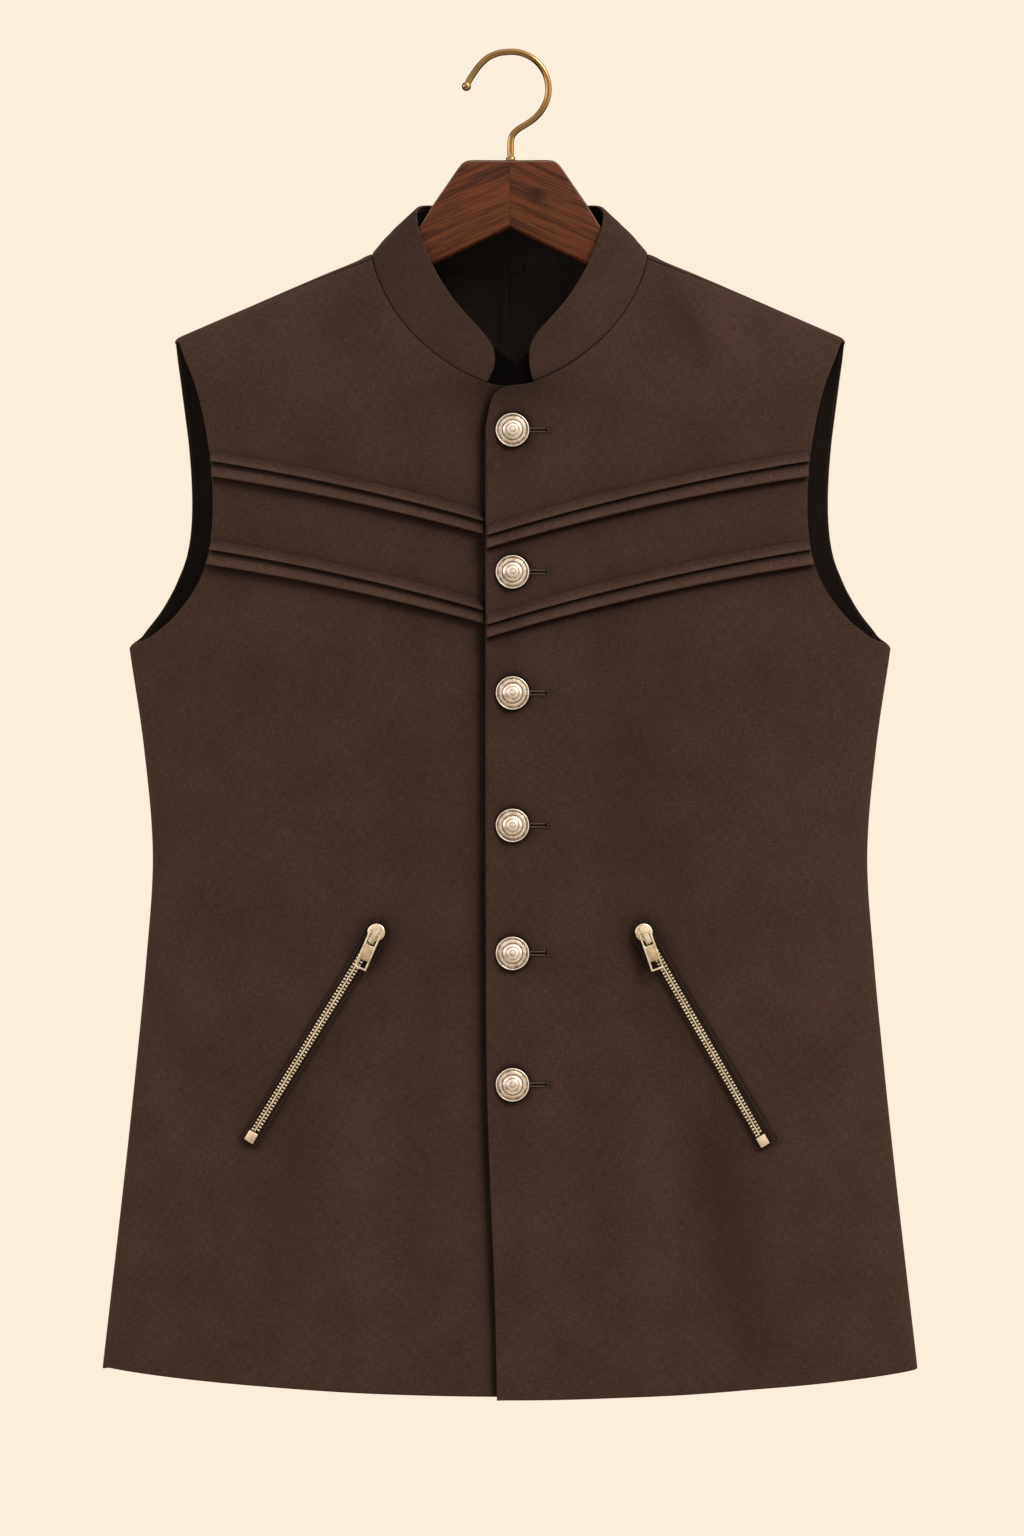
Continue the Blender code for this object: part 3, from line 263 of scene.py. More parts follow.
def path_lengths(points):
    """Distance along a path at each of its points."""
    return np.concatenate(([0.0], np.cumsum(np.linalg.norm(np.diff(points, axis=0), axis=1))))


def on_path(places, lengths, values):
    """Values at places along a path, read between its points."""
    return np.stack([np.interp(places, lengths, column) for column in values.T], axis=1)


def even_route(points, count):
    """The same curve resampled at equal steps of length, and its length."""
    dense = route(points, np.linspace(0, 1, 8 * count))
    lengths = path_lengths(dense)
    return on_path(np.linspace(0, lengths[-1], count), lengths, dense), lengths[-1]


def unit(vectors):
    return vectors / np.maximum(np.linalg.norm(vectors, axis=-1, keepdims=True), 1e-9)


def as_grids(*values):
    """Numbers or arrays as arrays of one shape."""
    return np.broadcast_arrays(*(np.asarray(value, float) for value in values))


# ---------------------------------------------------------------- garment surface


def half_width(z):
    return np.where(z > UNDERARM_Z, CHEST_HALF, read(SIDE_SEAM, z))


def ridge_z(across):
    """Height of the shoulder ridge, which rounds down at the tip."""
    beyond = np.clip((np.abs(across) - SHOULDER_TIP_X) / TIP_ROUND + 1.0, 0.0, 1.0)
    return NECK_RIDGE_Z - SHOULDER_SLOPE * (np.abs(across) - NECK_HALF) - TIP_DROP * beyond ** 2.5


def row_z(across, q):
    keep = np.exp(-(q / ROW_FADE) ** 2)
    return mix(ROW_MIDDLE_Z, ridge_z(across), keep) - ROW_FALL * q * q


def row_q(across, z):
    """How far down the surface, as q without its sign, a height lies."""
    across, z = as_grids(across, z)
    limit, halvings = ROW_SEARCH
    low, high = np.zeros(z.shape), np.full(z.shape, limit)
    for _ in range(halvings):
        middle = (low + high) / 2
        above = row_z(across, middle) > z
        low = np.where(above, middle, low)
        high = np.where(above, high, middle)
    return low


def spot(x, z, face):
    """The phi and q of places on the garment given by their x and z."""
    sine = np.clip(x / half_width(z), -1.0, 1.0)
    return np.arcsin(sine), face * row_q(CHEST_HALF * sine, z)


def garment_base(phi, q):
    """Points on the plain surface, before the creases."""
    across = CHEST_HALF * np.sin(phi)
    z = row_z(across, q)
    fall = np.maximum(ridge_z(across) - z, 0.0)
    to_tip = (np.abs(across) - NECK_HALF) / (SHOULDER_TIP_X - NECK_HALF)
    reach = mix(REACH_AT_NECK, REACH_AT_TIP, np.clip(to_tip, 0.0, REACH_LIMIT))
    behind = q > 0
    full = np.minimum(fall / np.where(behind, reach * BACK_REACH_SHARE, reach), 1.0)
    depth = np.where(behind, read(DEPTHS, z, 2), -read(DEPTHS, z, 1))
    y = depth * np.cos(phi) * np.sqrt(1 - (1 - full) ** 2)
    return np.stack((half_width(z) * np.sin(phi), y, z), axis=-1)


def garment_normal(phi, q):
    step = 0.002
    round_body = garment_base(phi + step, q) - garment_base(phi - step, q)
    over_body = garment_base(phi, q + step) - garment_base(phi, q - step)
    return unit(np.cross(round_body, over_body))


def drape(x, z, face):
    """How far the creases move the cloth out of the plain surface."""
    out = np.zeros(np.broadcast(x, z).shape)
    for x0, z0, x1, z1, half, height, crease_face in CREASES:
        along_x, along_z = x1 - x0, z1 - z0
        length = math.hypot(along_x, along_z)
        along = ((x - x0) * along_x + (z - z0) * along_z) / length ** 2
        across = ((x - x0) * along_z - (z - z0) * along_x) / length
        fade = ease((along / CREASE_FADE + 1) / 2) * ease(((1 - along) / CREASE_FADE + 1) / 2)
        crease = height * np.exp(-(across / half) ** 2) * fade
        out = out + np.where(face == crease_face, crease, 0.0)
    start, over = CENTRE_CALM
    return out * ease((np.abs(x) - start) / over)


def drape_shading(phi, q, side=1):
    """Painted shading: ridges of the hanging cloth paler than troughs, which take less of the soft light."""
    base = garment_base(phi, q)
    return DRAPE_SHADING * drape(side * base[..., 0], base[..., 2], np.where(q > 0, BACK, FRONT))


def cloth_point(phi, q, out, side=1):
    """Points moved out from the draped cloth; side -1 mirrors the panel to the wearer's right."""
    base = garment_base(phi, q)
    face = np.where(q > 0, BACK, FRONT)
    start, over = SHOULDER_CALM
    fade = ease((np.abs(q) - start) / over)
    from_slider = np.hypot(np.abs(base[..., 0]) - ZIP_TOP[0], base[..., 2] - ZIP_TOP[1])
    fade = fade * (1 - np.exp(-(from_slider / SLIDER_CALM) ** 2))
    out = out + fade * drape(side * base[..., 0], base[..., 2], face)
    point = base + garment_normal(phi, q) * out[..., None]
    return point * np.array((side, 1.0, 1.0))


def lap_lift(x):
    """How far the upper layer stands off: over the under layer, and a little more along its own edge."""
    curl = LAP_CURL * ease((LAP_CURL_X - x) / (LAP_CURL_X - UNDER_EDGE_X))
    return LAP_LIFT * (1 - ease((x - LAP_FLAT_X) / (LAP_END_X - LAP_FLAT_X))) + curl


def front_point(side, x, z, out):
    """Points moved out from a front; x is the distance towards that side's armhole."""
    x, z, out = as_grids(x, z, out)
    phi, q = spot(x, z, FRONT)
    lift = lap_lift(x) if side > 0 else 0.0
    return cloth_point(phi, q, out + lift, side)


def back_point(x, z, out):
    x, z, out = as_grids(x, z, out)
    phi, q = spot(x, z, BACK)
    return cloth_point(phi, q, out)


def hem_z(x, rise=0.0):
    return HEM_Z + rise + HEM_RISE * (x / HEM_HALF) ** 2


# ---------------------------------------------------------------- meshes


# Distances of the close steps from an edge of the cloth, in halves of its thickness
EDGE_STEPS = (0.0, 0.12, 0.5, 1.0, 2.2)


def edge_spread(count, length, half, both=True):
    """Shares from 0 to 1 with close ones at the far end, or at both, where the cloth's edge rounds over."""
    near = np.array(EDGE_STEPS) * half / length
    inside = np.linspace(near[-1] if both else 0.0, 1 - near[-1], count)
    start = near[:-1] if both else near[:0]
    return np.concatenate((start, inside, 1 - near[-2::-1]))


def edge_rise(shares, length, half, both=True):
    """1 inside the cloth, falling to 0 at its edge along a quarter round as wide as half its thickness."""
    near = np.minimum(shares, 1 - shares) if both else 1 - shares
    return np.sqrt(np.maximum(1 - (1 - np.clip(near * length / half, 0, 1)) ** 2, 0.0))


def finish_mesh(mesh, material, smooth_angle=180):
    mesh.materials.clear()
    mesh.materials.append(material)
    mesh.shade_smooth()
    if smooth_angle < 180:
        mesh.set_sharp_from_angle(angle=math.radians(smooth_angle))


def add_piece(name, mesh, material, body=BODY):
    piece = bpy.data.objects.new(name, mesh)
    bpy.context.scene.collection.objects.link(piece)
    finish_mesh(mesh, material)
    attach(piece, body)
    return piece


def grid_faces(rows, columns, offset=0, ring_rows=False, ring_columns=False):
    """Four-sided faces of a grid of points that are numbered row by row."""
    i = np.arange(rows if ring_rows else rows - 1)[:, None]
    j = np.arange(columns if ring_columns else columns - 1)[None, :]
    here = i * columns + j
    across = i * columns + (j + 1) % columns
    below = ((i + 1) % rows) * columns + j
    beyond = ((i + 1) % rows) * columns + (j + 1) % columns
    return np.stack([a.ravel() for a in np.broadcast_arrays(here, across, beyond, below)], axis=1) + offset


def set_painted_light(mesh, values):
    """Give each point of a mesh a value that its material reads to paint light and shade."""
    mesh.attributes.new("painted_light", "FLOAT", "POINT").data.foreach_set("value", values.ravel())


def build_mesh(name, points, faces, uv=None, painted_light=None):
    """A mesh from arrays, its faces turned out and its doubles merged, with an optional UV map in metres and
    an optional value for each point, which its material reads to paint light and shade."""
    mesh = bpy.data.meshes.new(name)
    mesh.from_pydata(points.reshape(-1, 3).tolist(), [], faces)
    if uv is not None:
        layer = mesh.uv_layers.new(name="metres")
        loops = np.empty(len(mesh.loops), int)
        mesh.loops.foreach_get("vertex_index", loops)
        layer.data.foreach_set("uv", uv.reshape(-1, 2)[loops].ravel())
    if painted_light is not None:
        set_painted_light(mesh, painted_light)
    build = bmesh.new()
    build.from_mesh(mesh)
    bmesh.ops.remove_doubles(build, verts=build.verts, dist=0.002 * MM)
    bmesh.ops.dissolve_degenerate(build, edges=build.edges, dist=0.001 * MM)
    bmesh.ops.recalc_face_normals(build, faces=build.faces)
    build.to_mesh(mesh)
    build.free()
    return mesh


def cloth_wall(name, outer, inner, uv, material, painted_light=None):
    """A closed piece of cloth between two grids that meet along their edges."""
    rows, columns = outer.shape[:2]
    if painted_light is not None:
        painted_light = np.concatenate((painted_light.ravel(), painted_light.ravel()))
    points = np.concatenate((outer.reshape(-1, 3), inner.reshape(-1, 3)))
    faces = np.concatenate((grid_faces(rows, columns), grid_faces(rows, columns, rows * columns)))
    uv = np.concatenate((uv.reshape(-1, 2), uv.reshape(-1, 2)))
    mesh = build_mesh(name, points, faces.tolist(), uv, painted_light)
    return add_piece(name, mesh, material)


def run_lengths(points):
    """Distance along each row of a grid of points."""
    steps = np.linalg.norm(np.diff(points, axis=1), axis=-1)
    return np.concatenate((np.zeros((points.shape[0], 1)), np.cumsum(steps, axis=1)), axis=1)


def metre_map(points):
    """A UV map in metres for a grid of points, measured from its first column and row."""
    across = run_lengths(points)
    down = run_lengths(points.transpose(1, 0, 2)).T
    return np.stack((across, down), axis=-1)


def grain_map(phi, q):
    """A UV map in metres, measured along the cloth, that keeps the threads of a panel upright and level."""
    shares = np.linspace(0, 1, GRAIN_STEPS)
    round_body = np.stack([garment_base(phi * share, q)[..., :2] for share in shares])
    across = np.linalg.norm(np.diff(round_body, axis=0), axis=-1).sum(axis=0)
    over_body = np.diff(np.stack([garment_base(phi, q * share)[..., 1:] for share in shares]), axis=0)
    slack = (np.linalg.norm(over_body, axis=-1) - np.abs(over_body[..., 1])).sum(axis=0)
    return np.stack((np.sign(phi) * across, slack - garment_base(phi, q)[..., 2]), axis=-1)


# ---------------------------------------------------------------- body panels


GRAIN_STEPS = 16
PATCH_ROWS = 151
PATCH_COLUMNS = 101
RELAX_ROUNDS = 700


def patch(top, bottom, left, right):
    """A grid of phi and q between four edges that meet at the corners, relaxed until no part folds over."""
    columns, rows = np.linspace(0, 1, PATCH_COLUMNS), np.linspace(0, 1, PATCH_ROWS)
    u, v = columns[None, :, None], rows[:, None, None]
    top, bottom, left, right = top(columns), bottom(columns), left(rows), right(rows)
    corners = (1 - v) * ((1 - u) * top[0] + u * top[-1]) + v * ((1 - u) * bottom[0] + u * bottom[-1])
    grid = (1 - v) * top[None] + v * bottom[None] + (1 - u) * left[:, None] + u * right[:, None] - corners
    for _ in range(RELAX_ROUNDS):
        north, south, west, east = grid[:-2, 1:-1], grid[2:, 1:-1], grid[1:-1, :-2], grid[1:-1, 2:]
        across, down = (east - west) / 2, (south - north) / 2
        wide = np.sum(across * across, axis=-1, keepdims=True)
        tall = np.sum(down * down, axis=-1, keepdims=True)
        skew = np.sum(across * down, axis=-1, keepdims=True)
        twist = (grid[2:, 2:] - grid[2:, :-2] - grid[:-2, 2:] + grid[:-2, :-2]) / 2
        pull = tall * (east + west) + wide * (north + south) - skew * twist
        grid[1:-1, 1:-1] = pull / (2 * (tall + wide))
    return grid


def sample(grid, columns, rows):
    """Phi and q of a panel's grid at shares of its width and length."""
    place_u, place_v = columns * (PATCH_COLUMNS - 1), rows * (PATCH_ROWS - 1)
    i = np.minimum(place_v.astype(int), PATCH_ROWS - 2)
    j = np.minimum(place_u.astype(int), PATCH_COLUMNS - 2)
    v, u = (place_v - i)[:, None, None], (place_u - j)[None, :, None]
    above = mix(grid[i][:, j], grid[i][:, j + 1], u)
    below = mix(grid[i + 1][:, j], grid[i + 1][:, j + 1], u)
    places = mix(above, below, v)
    return places[..., 0], places[..., 1]


def panel_grid(face, neck, edge_x, armhole, rise=0.0):
    """Phi and q over half a front or half the back, from its centre edge to its side seam."""
    underarm_q = face * row_q(CHEST_HALF, UNDERARM_Z)
    level_q = face * row_q(0.0, UNDERARM_ROW_Z)
    side_z = hem_z(HEM_HALF, rise)
    side_q = face * row_q(CHEST_HALF, side_z)
    hem_q = face * row_q(0.0, hem_z(edge_x(HEM_Z), rise))
    tip = np.array((math.asin(SHOULDER_TIP_X / CHEST_HALF), -SHOULDER_SEAM_TIP_Q + face * SEAM_Q))

    def side_phi(z):
        return np.arccos(SIDE_SEAM_Y / read(DEPTHS, z, 1 if face == FRONT else 2))

    armhole_spots = [spot(x, z, face) for x, z in armhole]
    armhole_spots[0] = tip
    armhole_spots[-1] = (side_phi(UNDERARM_Z), underarm_q)
    armhole_spots = np.array([(float(a), float(b)) for a, b in armhole_spots])

    def centre(q):
        z = row_z(0.0, q)
        return np.stack((np.arcsin(edge_x(z) / half_width(z)), q), axis=-1)

    def top(u):
        share = ((u - NECK_COLUMN_SHARE) / (1 - NECK_COLUMN_SHARE))[:, None]
        shoulder = mix(neck[-1], tip, share)
        return np.where(u[:, None] <= NECK_COLUMN_SHARE, route(neck, u / NECK_COLUMN_SHARE), shoulder)

    def bottom(u):
        phi = mix(centre(np.array([hem_q]))[0, 0], side_phi(side_z), u)
        q = face * row_q(CHEST_HALF * np.sin(phi), hem_z(HEM_HALF * np.sin(phi), rise))
        return np.stack((phi, q), axis=-1)

    def shares_below(v):
        return np.clip((v - UNDERARM_ROW_SHARE) / (1 - UNDERARM_ROW_SHARE), 0.0, 1.0)

    def left(v):
        upper = mix(neck[0][1], level_q, v / UNDERARM_ROW_SHARE)
        q = np.where(v <= UNDERARM_ROW_SHARE, upper, mix(level_q, hem_q, shares_below(v)))
        places = centre(q)
        places[v == 0.0] = neck[0]
        return places

    def right(v):
        q = mix(underarm_q, side_q, shares_below(v))
        seam = np.stack((side_phi(row_z(CHEST_HALF, q)), q), axis=-1)
        return np.where(v[:, None] <= UNDERARM_ROW_SHARE, route(armhole_spots, v / UNDERARM_ROW_SHARE), seam)

    return patch(top, bottom, left, right)


def front_neck_spots(corner):
    """Phi and q from the front edge, round its top corner, along the neck seam to the shoulder seam."""
    seam = [place for place in reversed(FRONT_NECK) if place[0] >= 0.0]
    spots = np.array([[float(a) for a in spot(x, z, FRONT)] for x, z in (*corner, *seam)])
    spots[-1, 1] = -SHOULDER_SEAM_NECK_Q - SEAM_Q
    return spots


def back_neck_spots():
    """Phi and q along the back neck seam, from the centre over the ridge to the shoulder seam."""
    spots = [[float(a) for a in spot(x, z, BACK)] for x, z in BACK_NECK]
    corner = spot(*FRONT_NECK[0], FRONT)
    return np.array(spots + [[float(corner[0]), -SHOULDER_SEAM_NECK_Q + SEAM_Q]])


def lap_edge(z):
    return read(LAP_EDGE, z)


def under_edge(z):
    return np.full(np.shape(z), UNDER_EDGE_X)


def centre_back(z):
    return np.zeros(np.shape(z))


PANEL_WIDTH = 0.26
PANEL_LENGTH = 0.67
# Columns and rows of each sheet, between the close ones at its edges
FRONT_STEPS = (96, 236)
BACK_STEPS = (90, 190)
FRONT_LINING_STEPS = (50, 110)
BACK_LINING_STEPS = (56, 120)
# Painted highlight: how much paler the cloth is painted where its edge rolls over at the armhole
ARMHOLE_EDGE_HIGHLIGHT = 1.8
# The front of the collar shades the cloth below it: how much, and how far across and down
NECK_SHADE = 0.45
NECK_SHADE_REACH = (0.032, 0.014)


def half_wall(half, down, across, length=PANEL_LENGTH, width=PANEL_WIDTH, both=True):
    """Half the thickness of the cloth over a grid of shares, rounding to nothing at its edges."""
    return half * edge_rise(down, length, half)[:, None] * edge_rise(across, width, half, both)


def hung_sheet(name, phi, q, middle, full, side, material, painted_light=None):
    """A sheet of hanging cloth, as thick as full to each side of its middle."""
    outer = cloth_point(phi, q, middle + full, side)
    inner = cloth_point(phi, q, middle - full, side)
    return cloth_wall(name, outer, inner, grain_map(phi, q), material, painted_light)


def whole_back(half_grid, sign=1):
    """Values over half of the back, mirrored so that each row runs from side seam to side seam."""
    return np.concatenate((sign * half_grid[:, :0:-1], half_grid), axis=1)


def make_front(name, side, grid, material):
    half = WALL / 2
    across = np.union1d(edge_spread(FRONT_STEPS[0], PANEL_WIDTH, half), NECK_COLUMN_SHARE)
    down = np.union1d(edge_spread(FRONT_STEPS[1], PANEL_LENGTH, half), UNDERARM_ROW_SHARE)
    phi, q = sample(grid, across, down)
    base = garment_base(phi, q)
    middle = -half + (lap_lift(base[..., 0]) if side > 0 else 0.0)
    # Painted light: a painted highlight along the armhole edge, painted shading over the creases and a
    # painted shadow below the front of the collar
    edge_highlight = (1 - edge_rise(across, PANEL_WIDTH, half)) * (across > 0.5)
    edge_highlight = ARMHOLE_EDGE_HIGHLIGHT * edge_highlight * (down < UNDERARM_ROW_SHARE)[:, None]
    aside, below = base[..., 0] / NECK_SHADE_REACH[0], (base[..., 2] - NECK_FRONT_Z) / NECK_SHADE_REACH[1]
    painted_light = edge_highlight + drape_shading(phi, q, side) - NECK_SHADE * np.exp(-aside ** 2 - below ** 2)
    return hung_sheet(name, phi, q, middle, half_wall(half, down, across), side, material, painted_light)


def make_back(grid, material):
    half = WALL / 2
    across = np.union1d(edge_spread(BACK_STEPS[0], PANEL_WIDTH, half, both=False), NECK_COLUMN_SHARE)
    down = np.union1d(edge_spread(BACK_STEPS[1], PANEL_LENGTH, half), UNDERARM_ROW_SHARE)
    phi, q = sample(grid, across, down)
    phi, q = whole_back(phi, -1), whole_back(q)
    full = whole_back(half_wall(half, down, across, both=False))
    # The back's creases get painted shading
    return hung_sheet("back_panel", phi, q, -half, full, 1, material, drape_shading(phi, q))


# Linings: how far they stop short of the panel's own edges, as shares of its width and length
FRONT_LINING_START = 0.207
LINING_SIDE_GAP = 0.008
LINING_TOP_GAP = 0.0015
LINING_HEM_GAP = 0.016
LINING_MIDDLE = -LINING_DEPTH - LINING_WALL / 2
# The ease pleat rises over part of its width and flattens towards its foot
PLEAT_WIDTH = 7.4 * MM
PLEAT_LEFT_X = -8.0 * MM
PLEAT_DEPTH = 0.9 * MM
PLEAT_Z = (-0.1385, -0.6000)
PLEAT_STEEPNESS = 1.6
PLEAT_FLATTENING = 0.6
PLEAT_WALL = 0.8 * MM
LOOP_X = (-1.6 * MM, 9.8 * MM)
LOOP_Z = (-0.1334, -0.1396)
LOOP_WALL = 1.2 * MM
LOOP_GAP = 1.0 * MM


def lining_sheet(grid, steps, start, both):
    """Phi, q and half thickness of a lining, from a share of its panel's width to the side seam."""
    half = LINING_WALL / 2
    u, v = edge_spread(steps[0], PANEL_WIDTH, half, both), edge_spread(steps[1], PANEL_LENGTH, half)
    phi, q = sample(grid, mix(start, 1 - LINING_SIDE_GAP, u), mix(LINING_TOP_GAP, 1 - LINING_HEM_GAP, v))
    return phi, q, half_wall(half, v, u, both=both)


def make_front_lining(name, side, grid, material):
    phi, q, full = lining_sheet(grid, FRONT_LINING_STEPS, FRONT_LINING_START, both=True)
    return hung_sheet(name, phi, q, LINING_MIDDLE, full, side, material)


def make_back_lining(grid, material):
    phi, q, full = lining_sheet(grid, BACK_LINING_STEPS, 0.0, both=False)
    phi, q, full = whole_back(phi, -1), whole_back(q), whole_back(full)
    return hung_sheet("back_lining", phi, q, LINING_MIDDLE, full, 1, material)


def flat_strip(name, place, columns, rows, width, length, wall, material, slot):
    """A thin strip of cloth; place(u, v, out) gives its points from shares across and down."""
    half = wall / 2
    u, v = edge_spread(columns, width, half), edge_spread(rows, length, half)
    full = half_wall(half, v, u, length, width)
    grid_u, grid_v = np.meshgrid(u, v)
    outer = place(grid_u, grid_v, full)
    inner = place(grid_u, grid_v, -full)
    return cloth_wall(name, outer, inner, metre_map(outer), material)


def make_lining_pleat(material):
    """The fold of the ease pleat down the centre of the back lining."""
    inside = -(LINING_DEPTH + LINING_WALL)
    top, bottom = PLEAT_Z

    def place(u, v, out):
        x = mix(PLEAT_LEFT_X, PLEAT_LEFT_X + PLEAT_WIDTH, u)
        raised = PLEAT_DEPTH * ease(u * PLEAT_STEEPNESS) * (1 - PLEAT_FLATTENING * v)
        return back_point(x, mix(top, bottom, v), inside - raised + out)

    length = top - bottom
    return flat_strip("back_lining_pleat", place, 8, 90, PLEAT_WIDTH, length, PLEAT_WALL, material, "lining")


def make_hanging_loop(material):
    inside = -(LINING_DEPTH + LINING_WALL + LOOP_GAP)
    left, right = LOOP_X
    top, bottom = LOOP_Z

    def place(u, v, out):
        return back_point(mix(left, right, u), mix(top, bottom, v), inside + out)

    width, length = right - left, top - bottom
    return flat_strip("hanging_loop", place, 12, 10, width, length, LOOP_WALL, material, "lining")


# ---------------------------------------------------------------- collar

# x, y, z of the collar's top edge, from the centre back to the front end
COLLAR_TOP = (
    (0.0000, 0.0170, -0.0945),
    (0.0280, 0.0155, -0.0955),
    (0.0480, 0.0105, -0.0975),
    (0.0607, 0.0015, -0.0997),
    (0.0612, -0.0070, -0.1107),
    (0.0565, -0.0118, -0.1260),
    (0.0500, -0.0145, -0.1412),
    (0.0374, -0.0180, -0.1618),
    (0.0180, -0.0205, -0.1842),
)
COLLAR_SAMPLES = 161
COLLAR_STEPS = (86, 22)
COLLAR_END_X = 0.0150
COLLAR_BOW = 1.5 * MM
# How far the front ends bulge: the wearer's left, the wearer's right
COLLAR_END_BULGES = (5.8 * MM, 9.4 * MM)
COLLAR_BULGE_END = 1.50
COLLAR_CORNER = 8.0 * MM
COLLAR_CORNER_START = 0.80
COLLAR_SEAM_GAP = 0.06 * MM
INNER_COLLAR_DIP = 3.0 * MM
INNER_COLLAR_END = 0.985
INNER_COLLAR_OVERLAP = 0.15 * MM
COLLAR_WALL = 2.2 * MM
COLLAR_STAND = 40.0 * MM
COLLAR_LENGTH = 0.40
COLLAR_FACING_TOP = 0.93
# Painted shade on the collar, deeper on the half turned from the key light: on the wearer's left half, on the
# right half, the width over which one turns into the other; and the painted highlight that the top edge adds
# where it rolls over
COLLAR_SIDE_SHADES = (-0.06, -0.26)
COLLAR_SHADE_TURN = 0.06
COLLAR_EDGE_HIGHLIGHT = 3.6
# The crossing facings: how far they reach up and down, how much higher the far one lies, the gaps behind them
NECK_FACING_HALF = 0.0190
NECK_FACING_DIP = 16.0 * MM
NECK_FACING_RISE = 17.0 * MM
NECK_FACING_LENGTH = 0.030
NECK_FACING_WALL = 0.8 * MM
FAR_FACING_LEAN = 0.42
NEAR_FACING_GAP = 0.8 * MM
FAR_FACING_GAP = 1.3 * MM


def neck_seam_points():
    """Points along half of the neck seam, from the centre back to the collar's front end."""
    front = np.array([[float(a) for a in spot(x, z, FRONT)] for x, z in FRONT_NECK if x >= COLLAR_END_X])
    spots = np.concatenate((back_neck_spots()[:-1], front))
    return garment_base(spots[:, 0], spots[:, 1])


def collar_half(a, b, out, end_bulge):
    """Points on half of the collar: a from the centre back (0) to its front end (1), b from seam to top."""
    seam, seam_length = even_route(neck_seam_points(), COLLAR_SAMPLES)
    top, top_length = even_route(COLLAR_TOP, COLLAR_SAMPLES)
    length = mix(seam_length, top_length, b)
    bulge = end_bulge * np.sin(np.pi * np.minimum(b / COLLAR_BULGE_END, 1.0))
    over = np.clip(b - COLLAR_CORNER_START, 0.0, None) / (1 - COLLAR_CORNER_START)
    cut = COLLAR_CORNER * (1 - np.sqrt(np.maximum(1 - over * over, 0.0)))
    along = a * (1.0 + (bulge - cut) / length)

    def on(a, b):
        past = np.maximum(a - 1.0, 0.0)[..., None] * (COLLAR_SAMPLES - 1)
        low = route(seam, a) + past * (seam[-1] - seam[-2])
        high = route(top, a) + past * (top[-1] - top[-2])
        return mix(low, high, b[..., None])

    step = 0.01
    forward = on(along + step, b) - on(np.maximum(along - step, 0.0), b)
    upward = on(along, b + step) - on(along, b - step)
    forward = np.where(a[..., None] <= 0.0, np.array((1.0, 0.0, 0.0)), forward)
    normal = unit(np.cross(forward, upward))
    centre = on(along, b)
    facing_out = normal[..., 0] * centre[..., 0] + normal[..., 1] * centre[..., 1] < 0
    normal = np.where(facing_out[..., None], -normal, normal)
    return centre + normal * (out + COLLAR_BOW * 4 * b * (1 - b))[..., None]


def collar_piece(name, low, high, end, out, wall, material):
    """The collar or its inside, between two shares of the stand and as far as a share of the length."""
    half = wall / 2
    columns, rows = COLLAR_STEPS
    a = end * edge_spread(columns, COLLAR_LENGTH / 2, half, both=False)
    turn = np.sin(np.linspace(0.0, math.pi / 2, rows))
    upright = mix(low, high, edge_spread(rows, COLLAR_STAND, half))
    b = np.unique(np.round(np.concatenate((upright, mix(COLLAR_CORNER_START, high, turn))), 5))
    up = (b - low) / (high - low)
    full = half_wall(half, up, a / end, COLLAR_STAND, COLLAR_LENGTH / 2, both=False)
    grid_a, grid_b = np.meshgrid(a, b)
    sheets = []
    for sign in (1, -1):
        left, right = (collar_half(grid_a, grid_b, out + sign * full, bulge) for bulge in COLLAR_END_BULGES)
        sheets.append(np.concatenate((right[:, :0:-1] * np.array((-1.0, 1.0, 1.0)), left), axis=1))
    grain = np.stack((sheets[0][..., 0], -sheets[0][..., 2]), axis=-1)
    # Painted light: a painted highlight along the top edge and painted shade over each half, deeper on the
    # wearer's right
    rolled = (1 - edge_rise(up, COLLAR_STAND, half)) * (b > (low + high) / 2)
    painted_shading = mix(*COLLAR_SIDE_SHADES, ease(0.5 - sheets[0][..., 0] / COLLAR_SHADE_TURN))
    painted_light = painted_shading + COLLAR_EDGE_HIGHLIGHT * rolled[:, None]
    return cloth_wall(name, sheets[0], sheets[1], grain, material, painted_light)


def make_collar(suiting, lining):
    low = COLLAR_SEAM_GAP / COLLAR_STAND
    collar = collar_piece("stand_collar", low, 1.0, 1.0, -COLLAR_WALL / 2, COLLAR_WALL, suiting)
    low = -INNER_COLLAR_DIP / COLLAR_STAND
    out = -COLLAR_WALL - LINING_WALL / 2 + INNER_COLLAR_OVERLAP
    inner = collar_piece("inner_collar", low, COLLAR_FACING_TOP, INNER_COLLAR_END, out, LINING_WALL, lining)
    return collar, inner


def make_neck_facing(name, side, lean_x, out, material):
    """One of the two black facings that cross behind the open front of the collar, in a darker copy of the
    lining as painted shade.
    """
    lean = np.array(COLLAR_TOP[-1]) - neck_seam_points()[-1]
    lean[0] = 0.0
    lean = unit(lean)
    inward = np.array((0.0, lean[2], -lean[1]))
    seam = FRONT_NECK[4:]

    def place(u, v, depth):
        x = mix(-NECK_FACING_HALF, NECK_FACING_HALF, u)
        z = read(seam, np.abs(x))
        phi, q = spot(np.abs(x), z, FRONT)
        foot = garment_base(phi, q)
        foot[..., 0] = x
        slant = side * x / NECK_FACING_HALF
        top = NECK_FACING_DIP + NECK_FACING_RISE * (slant + lean_x)
        return foot + lean * (top * (1 - v))[..., None] + inward * (out - depth)[..., None]

    return flat_strip(name, place, 26, 22, 2 * NECK_FACING_HALF, NECK_FACING_LENGTH, NECK_FACING_WALL,
                      material, "lining")


# ---------------------------------------------------------------- tucks

